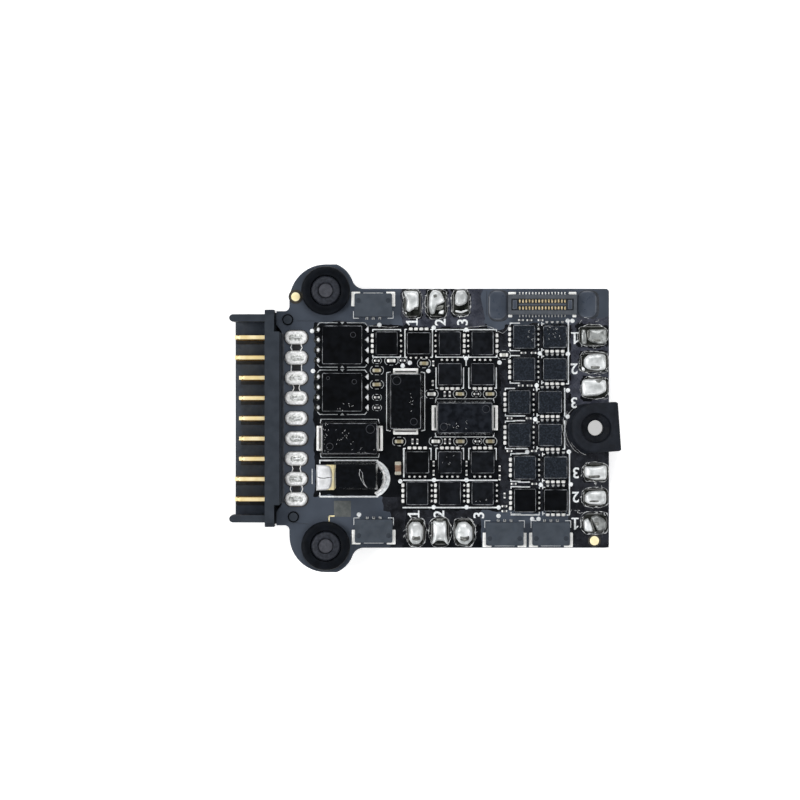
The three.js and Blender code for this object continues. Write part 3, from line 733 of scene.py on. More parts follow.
# The solder on each motor pad, as the corners of its bright bodies: (corners, height).
SOLDER_BODIES = [
    ([(-2.8, 15.75), (-0.85, 15.75), (-0.8, 14.6), (-0.85, 13.7), (-1.5, 13.45), (-2.0, 13.1), (-2.4, 13.4),
      (-2.3, 14.6)], 0.75),
    ([(-2.6, 13.1), (-2.3, 13.15), (-2.3, 12.8)], 0.3),
    ([(0.5, 15.3), (0.95, 15.9), (1.9, 15.75), (2.5, 14.4), (1.4, 13.95), (1.15, 12.9), (0.65, 12.85),
      (0.4, 13.8)], 0.8),
    ([(1.55, 12.9), (1.75, 13.3), (2.35, 13.45), (2.25, 12.85)], 0.4),
    ([(3.65, 15.0), (3.9, 15.8), (4.9, 15.85), (5.3, 15.1), (5.1, 14.15), (4.1, 13.85), (3.65, 14.1)], 0.8),
    ([(3.65, 13.4), (4.4, 13.15), (5.2, 13.5), (5.3, 13.3), (4.5, 12.95), (3.75, 13.1)], 0.35),
    ([(-2.1, -13.4), (-1.7, -12.8), (-0.7, -12.8), (-0.25, -13.5), (-0.3, -15.0), (-0.8, -15.55),
      (-1.6, -15.55), (-2.0, -15.0)], 0.85),
    ([(0.9, -12.6), (1.7, -12.75), (2.6, -12.6), (2.65, -14.5), (2.85, -15.75), (2.3, -15.15), (1.4, -15.15),
      (0.8, -15.7), (1.0, -14.4)], 0.7),
    ([(3.65, -13.9), (4.1, -12.85), (5.1, -12.75), (5.85, -13.5), (5.85, -15.0), (5.2, -15.65), (4.3, -15.5),
      (3.75, -14.8)], 0.85),
    ([(19.6, 7.3), (20.1, 7.85), (21.2, 8.0), (22.35, 7.9), (22.35, 6.0), (21.2, 5.9), (20.1, 6.05),
      (19.6, 6.5)], 0.8),
    ([(19.35, 6.45), (19.75, 6.2), (19.75, 5.85), (19.35, 5.85)], 0.3),
    ([(19.35, 4.8), (21.0, 4.85), (22.4, 4.75), (22.4, 3.3), (21.2, 2.75), (19.35, 2.7)], 0.6),
    ([(19.7, -5.9), (21.0, -6.0), (22.45, -5.75), (22.45, -7.6), (21.0, -7.65), (19.7, -7.3)], 0.7),
    ([(19.7, -9.5), (20.2, -9.0), (22.35, -8.9), (22.4, -10.7), (20.3, -10.65), (19.7, -10.3)], 0.75),
    ([(19.6, -12.6), (20.1, -12.3), (20.55, -13.0), (20.8, -14.05), (19.7, -14.0)], 0.5),
]
# Duller bodies, on the pads whose joints were worked longest.
DULL_BODIES = [
    ([(20.1, 11.05), (21.3, 11.0), (22.4, 11.15), (22.45, 9.25), (21.6, 9.15), (20.6, 9.35),
      (20.0, 9.8)], 0.5),
    ([(19.3, 11.05), (19.85, 10.95), (20.0, 10.0), (19.95, 9.15), (19.3, 9.15)], 0.4),
    ([(20.4, -12.2), (21.2, -11.9), (22.1, -12.4), (22.45, -13.0), (22.35, -13.85), (21.3, -14.0),
      (20.9, -13.2)], 0.6),
]
# Painted shade: darker lumps standing in for the shade in the hollows between them.
SOLDER_SHADES = [
    ([(-1.5, 13.75), (-0.9, 13.8), (-0.9, 13.4), (-1.4, 13.45)], 0.6),
    ([(1.3, 13.85), (2.35, 14.05), (2.2, 13.5), (1.3, 13.3)], 0.5),
    ([(0.95, 15.3), (1.4, 15.35), (1.45, 14.95), (1.0, 14.85)], 0.9),
    ([(-1.75, -14.45), (-1.15, -14.6), (-0.55, -14.45), (-0.6, -15.05), (-1.15, -15.2), (-1.7, -15.05)], 1.0),
    ([(4.25, -14.5), (4.8, -14.7), (5.5, -14.45), (5.4, -15.1), (4.8, -15.3), (4.25, -15.1)], 1.0),
    ([(1.3, -12.4), (2.3, -12.4), (2.2, -12.8), (1.4, -12.8)], 0.6),
    ([(19.95, 10.95), (20.35, 10.9), (20.4, 9.9), (20.0, 9.8)], 0.55),
    ([(20.8, 9.9), (21.8, 9.75), (21.6, 9.4), (20.7, 9.5)], 0.6),
    ([(20.3, 6.5), (21.7, 6.45), (21.5, 6.1), (20.5, 6.1)], 0.88),
    ([(21.0, 4.75), (21.9, 4.75), (21.6, 4.3), (21.1, 4.4)], 0.7),
    ([(20.1, -7.05), (21.7, -7.0), (21.6, -7.4), (20.2, -7.4)], 0.8),
    ([(20.2, -10.15), (21.6, -10.1), (21.5, -10.4), (20.3, -10.4)], 0.82),
    ([(20.35, -12.5), (20.6, -12.4), (21.0, -13.9), (20.8, -14.0)], 0.6),
    ([(20.9, -12.85), (21.4, -12.75), (21.5, -13.2), (21.0, -13.3)], 0.72),
]


def cut_corners(corners):
    """The outline with each corner cut short of its two sides, and the cuts cut again."""
    for share in (0.15, 0.25):
        cut = []
        for (x0, y0), (x1, y1) in sides(corners):
            cut.append((x0 + share * (x1 - x0), y0 + share * (y1 - y0)))
            cut.append((x1 + share * (x0 - x1), y1 + share * (y0 - y1)))
        corners = cut
    return corners


def lump(shape, corners, height, foot, dents):
    """A body that rises in a quarter ellipse over an uneven outline, with soft dents on top."""
    outline = cut_corners(corners)
    if sum(x0 * y1 - x1 * y0 for (x0, y0), (x1, y1) in sides(outline)) < 0:
        outline.reverse()
    middle = Vector((sum(x for x, _ in outline), sum(y for _, y in outline))) / len(outline)
    steps = 9
    rings = []
    for step in range(steps + 1):
        angle = math.pi / 2 * step / steps
        reach = max(math.cos(angle) ** 0.7, 0.04)
        rise = foot + (height - foot) * math.sin(angle) ** 0.6
        ring = []
        for x, y in outline:
            u = middle.x + (x - middle.x) * reach
            v = middle.y + (y - middle.y) * reach
            dent = 1 + dents * noise.noise(Vector((u * 0.9, v * 0.9, height * 9)))
            ring.append(Vector((u, v, BOARD_TOP + rise * dent)))
        rings.append(ring)
    shape.skin(rings)


def within_width(y, margin):
    """The nearest place to y that is at least a margin inside the board's long edges."""
    half = MAIN_HALF_WIDTH - margin
    return max(min(y, half), -half)


def motor_pad_solder():
    """Bright solder bodies on each motor-wire pad, with painted shade in the hollows between them, in a pool
    of dark flux.
    """
    for name, surface, bodies, foot, dents in (
        ("motor_pad_solder", SOLDER, SOLDER_BODIES, 0.0, 0.2),
        ("motor_pad_dull_solder", DULL_SOLDER, DULL_BODIES, 0.0, 0.2),
        ("motor_pad_hollow_shade", SOLDER_HOLLOW_SHADE, SOLDER_SHADES, 0.4, 0.1),
    ):
        shape = Shape()
        for corners, height in bodies:
            lump(shape, corners, height, height * foot, dents)
        shape.make(name, surface, sharp=80)
    pools = Shape()
    for x, y, length, width in MOTOR_PADS:
        outline = rectangle(length + 0.55, width + 0.55, min(length, width) * 0.42, 8)
        pools.stack(outline, dome(0.16, 0.5, 6), x, y)
    for point in pools.vertices:
        point.x = min(point.x, MAIN_RIGHT - 0.12)
        point.y = within_width(point.y, 0.1)
    pools.make("motor_pad_flux", MENISCUS, sharp=80)


def squarish_oval(length, width, steps=48):
    points = []
    for step in range(steps):
        along = math.cos(2 * math.pi * step / steps)
        across = math.sin(2 * math.pi * step / steps)
        u = math.copysign(abs(along) ** 0.65, along) * length / 2
        v = math.copysign(abs(across) ** 0.65, across) * width / 2
        points.append((u, v))
    return points


def pad_wrinkles():
    """Crinkled rims where the clear coat stands off round each motor pad, coloured pale grey as painted
    highlights.
    """
    rims = Shape()
    for number, (x, y, length, width) in enumerate(MOTOR_PADS):
        away = 0.4 + 0.05 * math.sin(number * 1.9)
        path, thick = [], []
        for u, v in squarish_oval(length + 2 * away, width + 2 * away):
            sway = noise.noise_vector(Vector((u * 1.2, v * 1.2, number * 5.1)))
            fine = noise.noise_vector(Vector((u * 4, v * 4, number * 2.3)))
            px = min(x + u + 0.22 * sway.x + 0.06 * fine.x, MAIN_RIGHT - 0.08)
            path.append((px, within_width(y + v + 0.22 * sway.y + 0.06 * fine.y, 0.06)))
            thick.append(0.035 + 0.26 * max(0.0, noise.noise(Vector((u * 3.2, v * 3.2, number * 1.7)))))
        band(rims, path, thick, closed=True, height=0.08)
    rims.make("coat_rim_highlights", WRINKLE_HIGHLIGHT, sharp=80)


# ---------------------------------------------------------------- small chip parts

TAN_0402 = [
    (-5.99, 5.92), (-5.99, 4.18), (-0.16, 6.79), (4.29, 3.0), (8.0, 3.0), (4.33, -2.85), (8.03, -2.85),
    (-3.24, -2.87),
]
PALE_0402 = [(0.77, 3.0), (1.3, -2.85), (9.72, 7.83), (-4.2, 7.12)]
RESISTORS_ALONG = [
    (-5.99, 7.12), (-2.8, 7.14), (-5.98, 2.59), (-5.98, 1.3), (6.32, 3.0), (6.45, -2.85), (9.79, -10.88),
    (9.79, -11.49), (11.84, 12.14), (12.88, 12.14), (14.26, 12.14), (12.15, 8.09), (13.39, 8.09),
    (11.82, 4.05), (12.91, 4.05), (10.42, 0.0), (12.8, 0.0), (10.42, -4.05), (13.45, -4.05), (10.94, -8.11),
    (13.48, -8.11),
]
RESISTORS_ACROSS = [
    (0.99, 6.79), (0.93, 4.37), (2.4, 3.0), (3.03, 3.0), (2.44, -2.85), (3.04, -2.85), (-1.58, -2.87),
    (-0.99, -2.87), (1.03, -5.62), (1.03, -6.75), (5.1, -5.62), (5.1, -6.75), (9.2, -6.19), (9.2, -7.33),
    (9.81, -9.57),
]


def chip_part(body, caps, size, x, y, turn=0, z=BOARD_TOP):
    """A chip capacitor or resistor: a body between two tinned end caps on small fillets."""
    length, width, height = size
    cap = length * 0.25
    middle = Vector((x, y))
    body.block(x, y, length - cap, width * 0.94, height * 0.97, 0.04, 0.04, z, turn)
    for end in (-1, 1):
        place = local_point(middle, turn, end * (length - cap) / 2, 0)
        caps.block(*place, cap, width, height, 0.07, 0.07, z, turn)
        place = local_point(middle, turn, end * (length / 2 + 0.01), 0)
        caps.stack(rectangle(0.12, width * 0.9, 0.05), dome(height * 0.5, 0.05, 3), *place, z, turn)


def chip_parts():
    caps, dull_caps, resistors = Shape(), Shape(), Shape()
    for name, surface, ends, size, turn, places in (
        ("tan_chip_capacitors", CERAMIC, dull_caps, (0.98, 0.45, 0.45), 0, TAN_0402),
        ("pale_chip_parts", PALE, caps, (0.94, 0.43, 0.4), 0, PALE_0402),
        ("brown_chip_capacitor", CERAMIC_BROWN, dull_caps, (1.55, 0.78, 0.8), 90, [(-3.38, -6.19)]),
    ):
        body = Shape()
        for x, y in places:
            chip_part(body, ends, size, x, y, turn)
        body.make(name, surface)
    for turn, places in ((0, RESISTORS_ALONG), (90, RESISTORS_ACROSS)):
        for x, y in places:
            chip_part(resistors, caps, (0.58, 0.27, 0.26), x, y, turn)
    resistors.make("chip_resistors", RESISTOR)
    caps.make("chip_end_caps", TIN)
    dull_caps.make("dull_end_caps", DULL_TIN)


# ---------------------------------------------------------------- connectors


def board_socket_details():
    """Two rows of contacts in the well, a ridge between them, and leads and hold-downs outside."""
    well_floor = box_mm("board_to_board_connector")[0].z + 0.29
    centre = centre_of("board_to_board_connector")
    contacts, leads, dim_leads, pads, blocks = Shape(), Shape(), Shape(), Shape(), Shape()
    for number in range(15):
        x = centre.x + (number - 7) * 0.4
        for side, row in ((-1, dim_leads), (1, leads)):
            contacts.block(x, centre.y + side * 0.44, 0.19, 0.42, 0.42, 0.05, 0.06, well_floor)
            row.block(x, centre.y + side * 1.4, 0.14, 0.32, 0.16, 0.04, 0.04)
    contacts.make("board_socket_contacts", SOCKET_GOLD)
    leads.make("board_socket_leads", TIN)
    dim_leads.make("board_socket_dim_leads", DIM_TIN)
    for end in (-1, 1):
        for side, length in ((-1, 0.5), (1, 0.95)):
            x = centre.x + end * (4.22 - length / 2)
            pads.block(x, centre.y + side * 1.4, length, 0.34, 0.22, 0.08, 0.08)
    pads.make("board_socket_hold_downs", TIN)
    for end in (-1, 1):
        blocks.block(centre.x + end * 3.42, centre.y, 0.55, 1.15, 0.6, 0.06, 0.06, well_floor)
    blocks.block(centre.x, centre.y, 6.0, 0.2, 0.3, 0.05, 0.05, well_floor)
    blocks.make("board_socket_blocks", MASK_PLUG, "signal_plastic")


def signal_socket_details():
    """Solder tabs at the mouth's corners, three pins in the mouth and three tails behind."""
    tabs, pins, marks, tails = Shape(), Shape(), Shape(), Shape()
    for name in SOCKETS:
        top = box_mm(name)[1].z
        centre = centre_of(name)
        out = math.copysign(1, centre.y)
        for side in (-1, 1):
            tabs.block(centre.x + side * 2.46, centre.y + out * 0.72, 0.5, 1.75, 0.3, 0.08, 0.06)
            tabs.block(centre.x + side * 2.16, centre.y + out * 1.45, 1.1, 0.4, 0.24, 0.08, 0.06)
            disc = ellipse(0.62, 0.62, 20)
            marks.stack(disc, slab(0.03, 0.02), centre.x + side * 1.85, centre.y + out * 0.55, top - 0.01)
        for number in (-1, 0, 1):
            x = centre.x + number * 0.8
            pins.block(x, centre.y + out * 0.5, 0.22, 1.4, 0.2, 0.04, 0.04, BOARD_TOP + 0.56)
            for side in (-1, 1):
                tails.block(x + side * 0.11, centre.y - out * 1.63, 0.11, 0.32, 0.18, 0.04, 0.04)
            tails.block(x, centre.y - out * 1.52, 0.3, 0.12, 0.16, 0.04, 0.04)
    tabs.make("signal_socket_tabs", TIN)
    tails.make("signal_socket_tails", DIM_TIN)
    pins.make("signal_socket_pins", GOLD)
    marks.make("signal_socket_marks", HOUSING, "signal_plastic")


# ---------------------------------------------------------------- clear coat over the board

# Rectangles (left, right, low, high) that the glossy coat covers, with soft uneven borders.
COATED = [
    (-13.75, 22.9, -9.6, 11.6), (-13.75, -7.1, 0.0, 11.95), (-5.2, 22.9, -11.5, 0.0), (-3.0, 7.1, 10.5, 16.4),
    (-4.3, 6.9, -16.4, -10.5), (17.7, 22.9, -16.4, -10.0), (18.9, 22.9, -14.9, 12.6),
]
# Within it, where the coat is thin enough for the board's own grey to show, and half thin.
THIN = [(-3.0, 7.2, 11.2, 16.4), (17.9, 22.9, 1.6, 13.0)]
HALF_THIN = [
    (9.2, 17.9, -12.0, 13.0), (17.6, 22.9, -16.4, -2.9), (-5.6, -2.6, -16.4, -9.8), (-1.5, 7.0, -13.2, -11.3),
]
# Masked places that stay matt.
BARE = [
    (7.6, 9.9, 11.0, 16.5), (18.7, 21.4, 12.6, 16.5), (-9.2, -3.7, 11.9, 16.5), (10.0, 18.8, 12.5, 16.5),
]


def coat_obstacles():
    """Footprints that the coat pools against: (left, right, low, high)."""
    footprints = []
    for name in MOSFETS + POWER_MOSFETS + CAPACITORS + ["bulk_capacitor"]:
        low, high = box_mm(name)
        footprints.append((low.x, high.x, low.y, high.y))
    for x, y, length, width in MOTOR_PADS:
        footprints.append((x - length / 2, x + length / 2, y - width / 2, y + width / 2))
    return np.array(footprints)


OBSTACLES = coat_obstacles()


def inside_by(x, y, rectangles):
    """How far (x, y) is inside the nearest rectangle, negative outside all of them."""
    return max(min(x - left, right - x, y - low, high - y) for left, right, low, high in rectangles)


def nearest_part(x, y):
    """How far (x, y) is from the nearest part that the coat pools against."""
    left, right, low, high = OBSTACLES.T
    across = np.maximum(np.maximum(left - x, x - right), 0)
    along = np.maximum(np.maximum(low - y, y - high), 0)
    return float(np.min(np.hypot(across, along)))


def coat_wander(x, y):
    """How far the coat's borders stray at (x, y)."""
    broad = noise.noise(Vector((x / 1.6, y / 1.6, 0)))
    fine = noise.noise(Vector((x / 0.5, y / 0.5, 5)))
    return 0.4 * broad + 0.15 * fine


def coat_kind(x, y):
    """0 for thick dark coat, 1 for half thin, 2 for thin."""
    clear = nearest_part(x, y) - 0.42 + 1.2 * coat_wander(y, x)
    if min(inside_by(x, y, THIN) + coat_wander(x, y), clear) > 0:
        return 2
    if min(inside_by(x, y, HALF_THIN) + coat_wander(x, y), clear + 0.25) > 0:
        return 1
    return 0


def coat_height(x, y):
    """The coat's surface over the board's top face, below zero where there is none."""
    thickness, border, pad_reach = 0.03, 0.4, 2.7
    cover = min(inside_by(x, y, COATED), -inside_by(x, y, BARE)) + coat_wander(x, y)
    cover = min(cover, math.hypot(x - PAD_CENTRE[0], y - PAD_CENTRE[1]) - pad_reach)
    if x > PAD_CENTRE[0]:
        cover = min(cover, abs(y - PAD_CENTRE[1]) - pad_reach)
    cover = min(max(cover / border, -1), 1)
    climb = 0.035 * math.exp(-nearest_part(x, y) / 0.16)
    ripple = 0.014 * noise.noise(Vector((x / 0.6, y / 0.6, 3)))
    return thickness * cover + (climb + ripple) * max(cover, 0)


def skin_height(x, y):
    """The height of whatever is on top at (x, y), board or coat."""
    return BOARD_TOP + max(0.0, coat_height(x, y))


def clear_coat():
    """A glossy skin over the board's middle that pools against the parts."""
    cell, margin = 0.16, 0.03
    left, right = -14.4, MAIN_RIGHT - margin
    low, high = margin - MAIN_HALF_WIDTH, MAIN_HALF_WIDTH - margin
    columns = int((right - left) / cell)
    rows = int((high - low) / cell)
    xs = [left + (right - left) * i / columns for i in range(columns + 1)]
    ys = [low + (high - low) * j / rows for j in range(rows + 1)]
    heights = np.array([[coat_height(x, y) for y in ys] for x in xs])
    shape = Shape()
    numbers = {}

    def vertex(i, j):
        if (i, j) not in numbers:
            numbers[i, j] = len(shape.vertices)
            shape.vertices.append(Vector((xs[i], ys[j], BOARD_TOP + heights[i, j])))
        return numbers[i, j]

    kinds = []
    for i in range(columns):
        for j in range(rows):
            if heights[i : i + 2, j : j + 2].max() > 0:
                shape.faces.append((vertex(i, j), vertex(i + 1, j), vertex(i + 1, j + 1), vertex(i, j + 1)))
                kinds.append(coat_kind((xs[i] + xs[i + 1]) / 2, (ys[j] + ys[j + 1]) / 2))
    skin = shape.make("clear_coat_skin", COAT, "solder_mask", sharp=80)
    skin.data.materials.append(MIDDLE_COAT)
    skin.data.materials.append(THIN_COAT)
    for face, kind in zip(skin.data.polygons, kinds):
        face.material_index = kind


def tip_beyond(station, inner):
    """A narrower station just past the end of a line."""
    x, y, line = station
    away = Vector((x - inner[0], y - inner[1])).normalized() * line * 0.4
    return x + away.x, y + away.y, line * 0.5


def band(shape, path, width, closed=False, height=0.03, top=None):
    """A thin raised line along a path, lying on the board's skin, or lifted from there to a part's top."""
    widths = width if isinstance(width, list) else [width] * len(path)
    spans = sides([(*point, line) for point, line in zip(path, widths)])
    stations = []
    for (x0, y0, w0), (x1, y1, w1) in spans if closed else spans[:-1]:
        pieces = max(1, math.ceil(math.hypot(x1 - x0, y1 - y0) / 0.3))
        for step in range(pieces):
            part = step / pieces
            stations.append((x0 + (x1 - x0) * part, y0 + (y1 - y0) * part, w0 + (w1 - w0) * part))
    if not closed:
        stations.append((*path[-1], widths[-1]))
        stations.insert(0, tip_beyond(stations[0], stations[1]))
        stations.append(tip_beyond(stations[-1], stations[-2]))
    total = len(stations)
    rings = []
    for index, (x, y, line) in enumerate(stations):
        before = stations[index - 1] if closed or index else stations[index]
        after = stations[(index + 1) % total] if closed or index < total - 1 else stations[index]
        run = Vector((after[0] - before[0], after[1] - before[1]))
        run = run.normalized() if run.length > 1e-9 else Vector((1, 0))
        side = Vector((-run.y, run.x)) * line / 2
        base = skin_height(x, y) - 0.01
        ring = []
        for across, rise in ((-1, 0), (1, 0), (0.7, height + 0.01), (-0.7, height + 0.01)):
            point = Vector((x + side.x * across, y + side.y * across, base + rise))
            if top is not None:
                point.z += top - skin_height(point.x, point.y)
            ring.append(point)
        rings.append(ring)
    shape.skin(rings, loop=closed)


def mask_plugs():
    """Smooth oval fillings over spare motor pads, each over a painted shadow: a shallow dark ring shifted to
    the right and down.
    """
    plugs, pad_shadows = Shape(), Shape()
    for x, y, length, width in ((8.95, 14.0, 2.2, 3.6), (20.05, 14.1, 2.3, 3.3)):
        # Each filled pad's painted shadow, shifted to the right and down.
        pad_shadows.stack(rectangle(length + 0.4, width + 0.34, 1.0, 10), slab(0.02, 0.015), x + 0.12, y - 0.06)
        plugs.stack(rectangle(length, width, 0.95, 10), dome(0.09, 0.3, 5), x, y)
    plugs.make("filled_pads", MASK_PLUG, "solder_mask")
    pad_shadows.make("filled_pad_painted_shadows", TRACE_DARK_AND_SHADE, "solder_mask")


# ---------------------------------------------------------------- white print

DOTS = [
    (-14.02, 10.8), (-13.9, 5.85), (-5.69, 11.56), (1.05, 11.21), (5.06, 10.95), (5.05, 7.42), (-1.92, 6.86),
    (-2.8, 6.49), (0.38, 5.85), (9.18, 6.89), (-8.2, -11.93), (9.05, -12.09), (9.07, -11.04), (13.23, -12.46),
    (14.01, -12.46), (14.29, -8.23), (18.0, -8.18), (13.6, -0.12), (13.78, 4.06), (17.61, 0.21),
    (12.62, -4.17), (17.77, -4.15), (14.17, 8.03), (17.65, 7.97), (17.65, 3.45), (17.62, 12.06),
    (18.2, 12.06), (-3.09, -7.8), (1.08, -7.65), (5.1, -7.65), (1.03, -11.01), (5.1, -11.01),
]
# Long lines that frame the rows of transistors: (path, width).
BLOCK_LINES = [
    ([(-2.7, -7.68), (8.9, -7.68)], 0.19),
    ([(-2.75, -11.05), (9.0, -11.05)], 0.2),
    ([(17.7, 11.85), (17.7, 4.27), (17.45, 4.27)], 0.18),
    ([(17.25, 3.7), (17.25, 0.3)], 0.18),
    ([(17.25, -0.3), (17.25, -3.8), (17.05, -3.8)], 0.18),
    ([(17.84, -4.25), (17.84, -11.97), (17.55, -11.97)], 0.18),
    ([(10.6, -11.75), (10.6, -11.96), (14.1, -11.96), (14.1, -11.8)], 0.17),
    ([(5.05, 7.15), (5.05, 6.55)], 0.18),
    ([(-2.65, -3.9), (-2.65, -7.25)], 0.2),
    ([(13.78, 4.3), (13.78, 3.4)], 0.18),
]
# Groups of small transistors whose side lines stop short, and those with none.
LINE_ENDS = {("upper", "down"): 0.78, ("lower", "up"): -0.35, ("rear", "left"): -0.55}
WITHOUT_LINES = [("lower", "left"), ("rear", "down")]


def arc(x, y, radius, start, end, steps):
    angles = [math.radians(start + (end - start) * step / steps) for step in range(steps + 1)]
    return [(x + radius * math.cos(angle), y + radius * math.sin(angle)) for angle in angles]


def print_capsule(shape, x, y, length, width, line):
    """The rounded outline round a chip part, open at its four quarters."""
    half = (length - width) / 2
    for side in (-1, 1):
        edge = y + side * width / 2
        band(shape, [(x - half * 0.7, edge), (x + half * 0.7, edge)], line)
    band(shape, arc(x + half, y, width / 2, -62, 62, 8), line)
    band(shape, arc(x - half, y, width / 2, 118, 242, 8), line)


def print_mosfets(shape):
    """Corner marks and side lines round each small transistor."""
    end = 1.72
    for name, face in PADS_FACE.items():
        group = (name.split("_")[1], face)
        if group in WITHOUT_LINES:
            continue
        centre = centre_of(name)
        turn = TURNS[face]
        far = LINE_ENDS.get(group, end)
        for v in (-1.7, 1.7):
            start = local_point(centre, turn, -end, v)
            stop = local_point(centre, turn, far, v)
            band(shape, [start, stop], 0.15)
            band(shape, [start, local_point(centre, turn, -end, v - math.copysign(0.2, v))], 0.15)
            if far == end:
                band(shape, [stop, local_point(centre, turn, far, v - math.copysign(0.22, v))], 0.15)


def print_rear_corners(shape):
    """Small corner ticks round the rear transistors."""
    for number in range(1, 13):
        centre = centre_of(f"mosfet_rear_{number}")
        for side in (-1, 1):
            if number % 2:
                x, y = centre.x + 1.78, centre.y + side * 1.45
                band(shape, [(x, y), (x, y + side * 0.16)], 0.12)
            else:
                x, y = centre.x - 1.6, centre.y + side * 1.62
                band(shape, [(x, y + side * 0.18), (x, y - side * 0.18)], 0.14)
                band(shape, [(x + 0.05, y), (x + 0.25, y)], 0.13)


def print_block_lines(shape):
    for path, width in BLOCK_LINES:
        band(shape, path, width)
    for x, y in ((11.6, 0.0), (11.95, -4.05), (12.2, -8.2)):
        for side, width in ((1, 0.18), (-1, 0.16)):
            band(shape, [(x - 0.7, y + side * 0.3), (x + 0.7, y + side * 0.3)], width)


def print_power_mosfets(thin):
    """A thin outline round each large transistor, with a small triangle at its middle."""
    for name in POWER_MOSFETS:
        centre = centre_of(name)
        for side in (-1, 1):
            y = centre.y + side * 2.75
            for end in (-1, 1):
                corner = (centre.x + end * 2.8, y)
                band(thin, [corner, (centre.x + end * 0.6, y)], 0.12)
                band(thin, [(centre.x + end * 3.05, y - side * 0.3), corner], 0.12)
            corners = [(-0.26, 0.1 * side), (0, -0.2 * side), (0.26, 0.1 * side)]
            outline = polygon(corners if side < 0 else corners[::-1])
            thin.stack(outline, slab(0.05), centre.x, y, skin_height(centre.x, y))


def print_capacitors(shape, thin):
    """Lines beside the moulded capacitors, hooked at the ends, and the outline of the bulk capacitor."""
    for name, turn in CAPACITOR_TURNS.items():
        centre = centre_of(name)
        for v in (-2.36, 2.36):
            dim = name == CAPACITORS[0] or (name == CAPACITORS[2] and v > 0)
            corners = [local_point(centre, turn, end * 3.55, v) for end in (-1, 1)]
            band(thin if dim else shape, corners, 0.1)
            for end, corner in zip((-1, 1), corners):
                hook = local_point(centre, turn, end * 3.62, v - math.copysign(0.45, v))
                band(shape, [corner, hook], 0.13)
    left, right = -13.05, -5.9
    for y, hook, width in ((-5.22, -0.4, 0.2), (-9.7, 0.45, 0.22)):
        band(shape, [(left, y), (right, y)], width)
        band(shape, [(left, y), (left, y + hook)], 0.18)
    band(shape, arc(*BULK_END, 2.1, -68, 68, 24), 0.5)
    band(shape, [(-14.0, -6.3), (-14.0, -8.1)], 0.09)


def print_sockets(shape):
    """Corners behind each signal socket and a line along its mouth."""
    for name in SOCKETS:
        centre = centre_of(name)
        out = math.copysign(1, centre.y)
        inner = centre.y - out * 1.62
        for side in (-1, 1):
            corner = centre.x + side * 2.45
            band(shape, [(corner - side * 0.65, inner), (corner, inner), (corner, inner + out * 0.85)], 0.1)
        edge = centre.y + out * 1.5
        band(shape, [(centre.x - 1.2, edge), (centre.x + 1.2, edge)], 0.08)


def white_print():
    shape, thin = Shape(), Shape()
    for x, y in DOTS:
        shape.stack(ellipse(0.55, 0.55, 18), slab(0.06), x, y, skin_height(x, y) - 0.02)
    print_mosfets(shape)
    print_rear_corners(shape)
    print_block_lines(shape)
    print_power_mosfets(thin)
    print_capacitors(shape, thin)
    print_sockets(shape)
    shape.make("white_print_lines", SILK)
    for x, y in TAN_0402 + PALE_0402:
        print_capsule(thin, x, y, 1.66, 1.08, 0.09)
    for x, y in RESISTORS_ALONG[:6]:
        print_capsule(thin, x, y, 1.15, 0.72, 0.07)
    thin.make("thin_print_outlines", THIN_SILK)


# ---------------------------------------------------------------- marks and coat on the parts

# Ejector marks: (node, u, v, radius).
EJECTOR_MARKS = [
    ("power_mosfet_1", 1.35, 1.25, 0.32),
    ("power_mosfet_2", 1.5, 1.3, 0.28),
    ("power_mosfet_2", -1.75, 1.75, 0.2),
    ("moulded_capacitor_1", 2.55, 1.15, 0.52),
    ("moulded_capacitor_1", -2.45, -1.0, 0.42),
    ("moulded_capacitor_2", -1.1, 2.55, 0.5),
    ("moulded_capacitor_2", 1.0, -2.5, 0.42),
    ("moulded_capacitor_3", -2.6, -1.1, 0.45),
    ("moulded_capacitor_3", 2.6, 1.1, 0.45),
]
# Puckers of the coat, coloured as painted glints: (node, u, v, spread along, spread across, count).
GLINT_PUCKERS = [
    ("moulded_capacitor_1", -2.95, 0.0, 0.3, 1.9, 16),
    ("moulded_capacitor_1", -0.8, 0.2, 1.3, 1.1, 16),
    ("moulded_capacitor_1", 1.6, -1.5, 1.4, 0.35, 9),
    ("moulded_capacitor_2", 0.7, 0.2, 0.2, 1.6, 8),
    ("moulded_capacitor_3", -1.2, -0.9, 1.5, 0.5, 14),
    ("mosfet_rear_2", 0.0, 0.3, 1.0, 0.9, 14),
    ("mosfet_rear_1", 0.8, -0.2, 0.3, 1.0, 8),
    ("power_mosfet_2", 0.6, -1.9, 1.2, 0.5, 8),
    ("mosfet_lower_2", -0.3, 0.1, 0.7, 0.7, 5),
    ("mosfet_lower_6", 0.0, -0.9, 1.0, 0.15, 4),
]


def moulding_marks():
    """Faint round ejector marks on the large moulded parts."""
    marks = Shape()
    rim = 0.05
    for name, u, v, radius in EJECTOR_MARKS:
        centre = centre_of(name)
        top = box_mm(name)[1].z
        profile = [
            (radius - rim, top - 0.01),
            (radius + rim, top - 0.01),
            (radius + rim * 0.5, top + 0.012),
            (radius - rim * 0.5, top + 0.012),
        ]
        marks.lathe(profile, centre.x + u, centre.y + v, steps=32)
    marks.make("moulding_marks", EMBOSS)


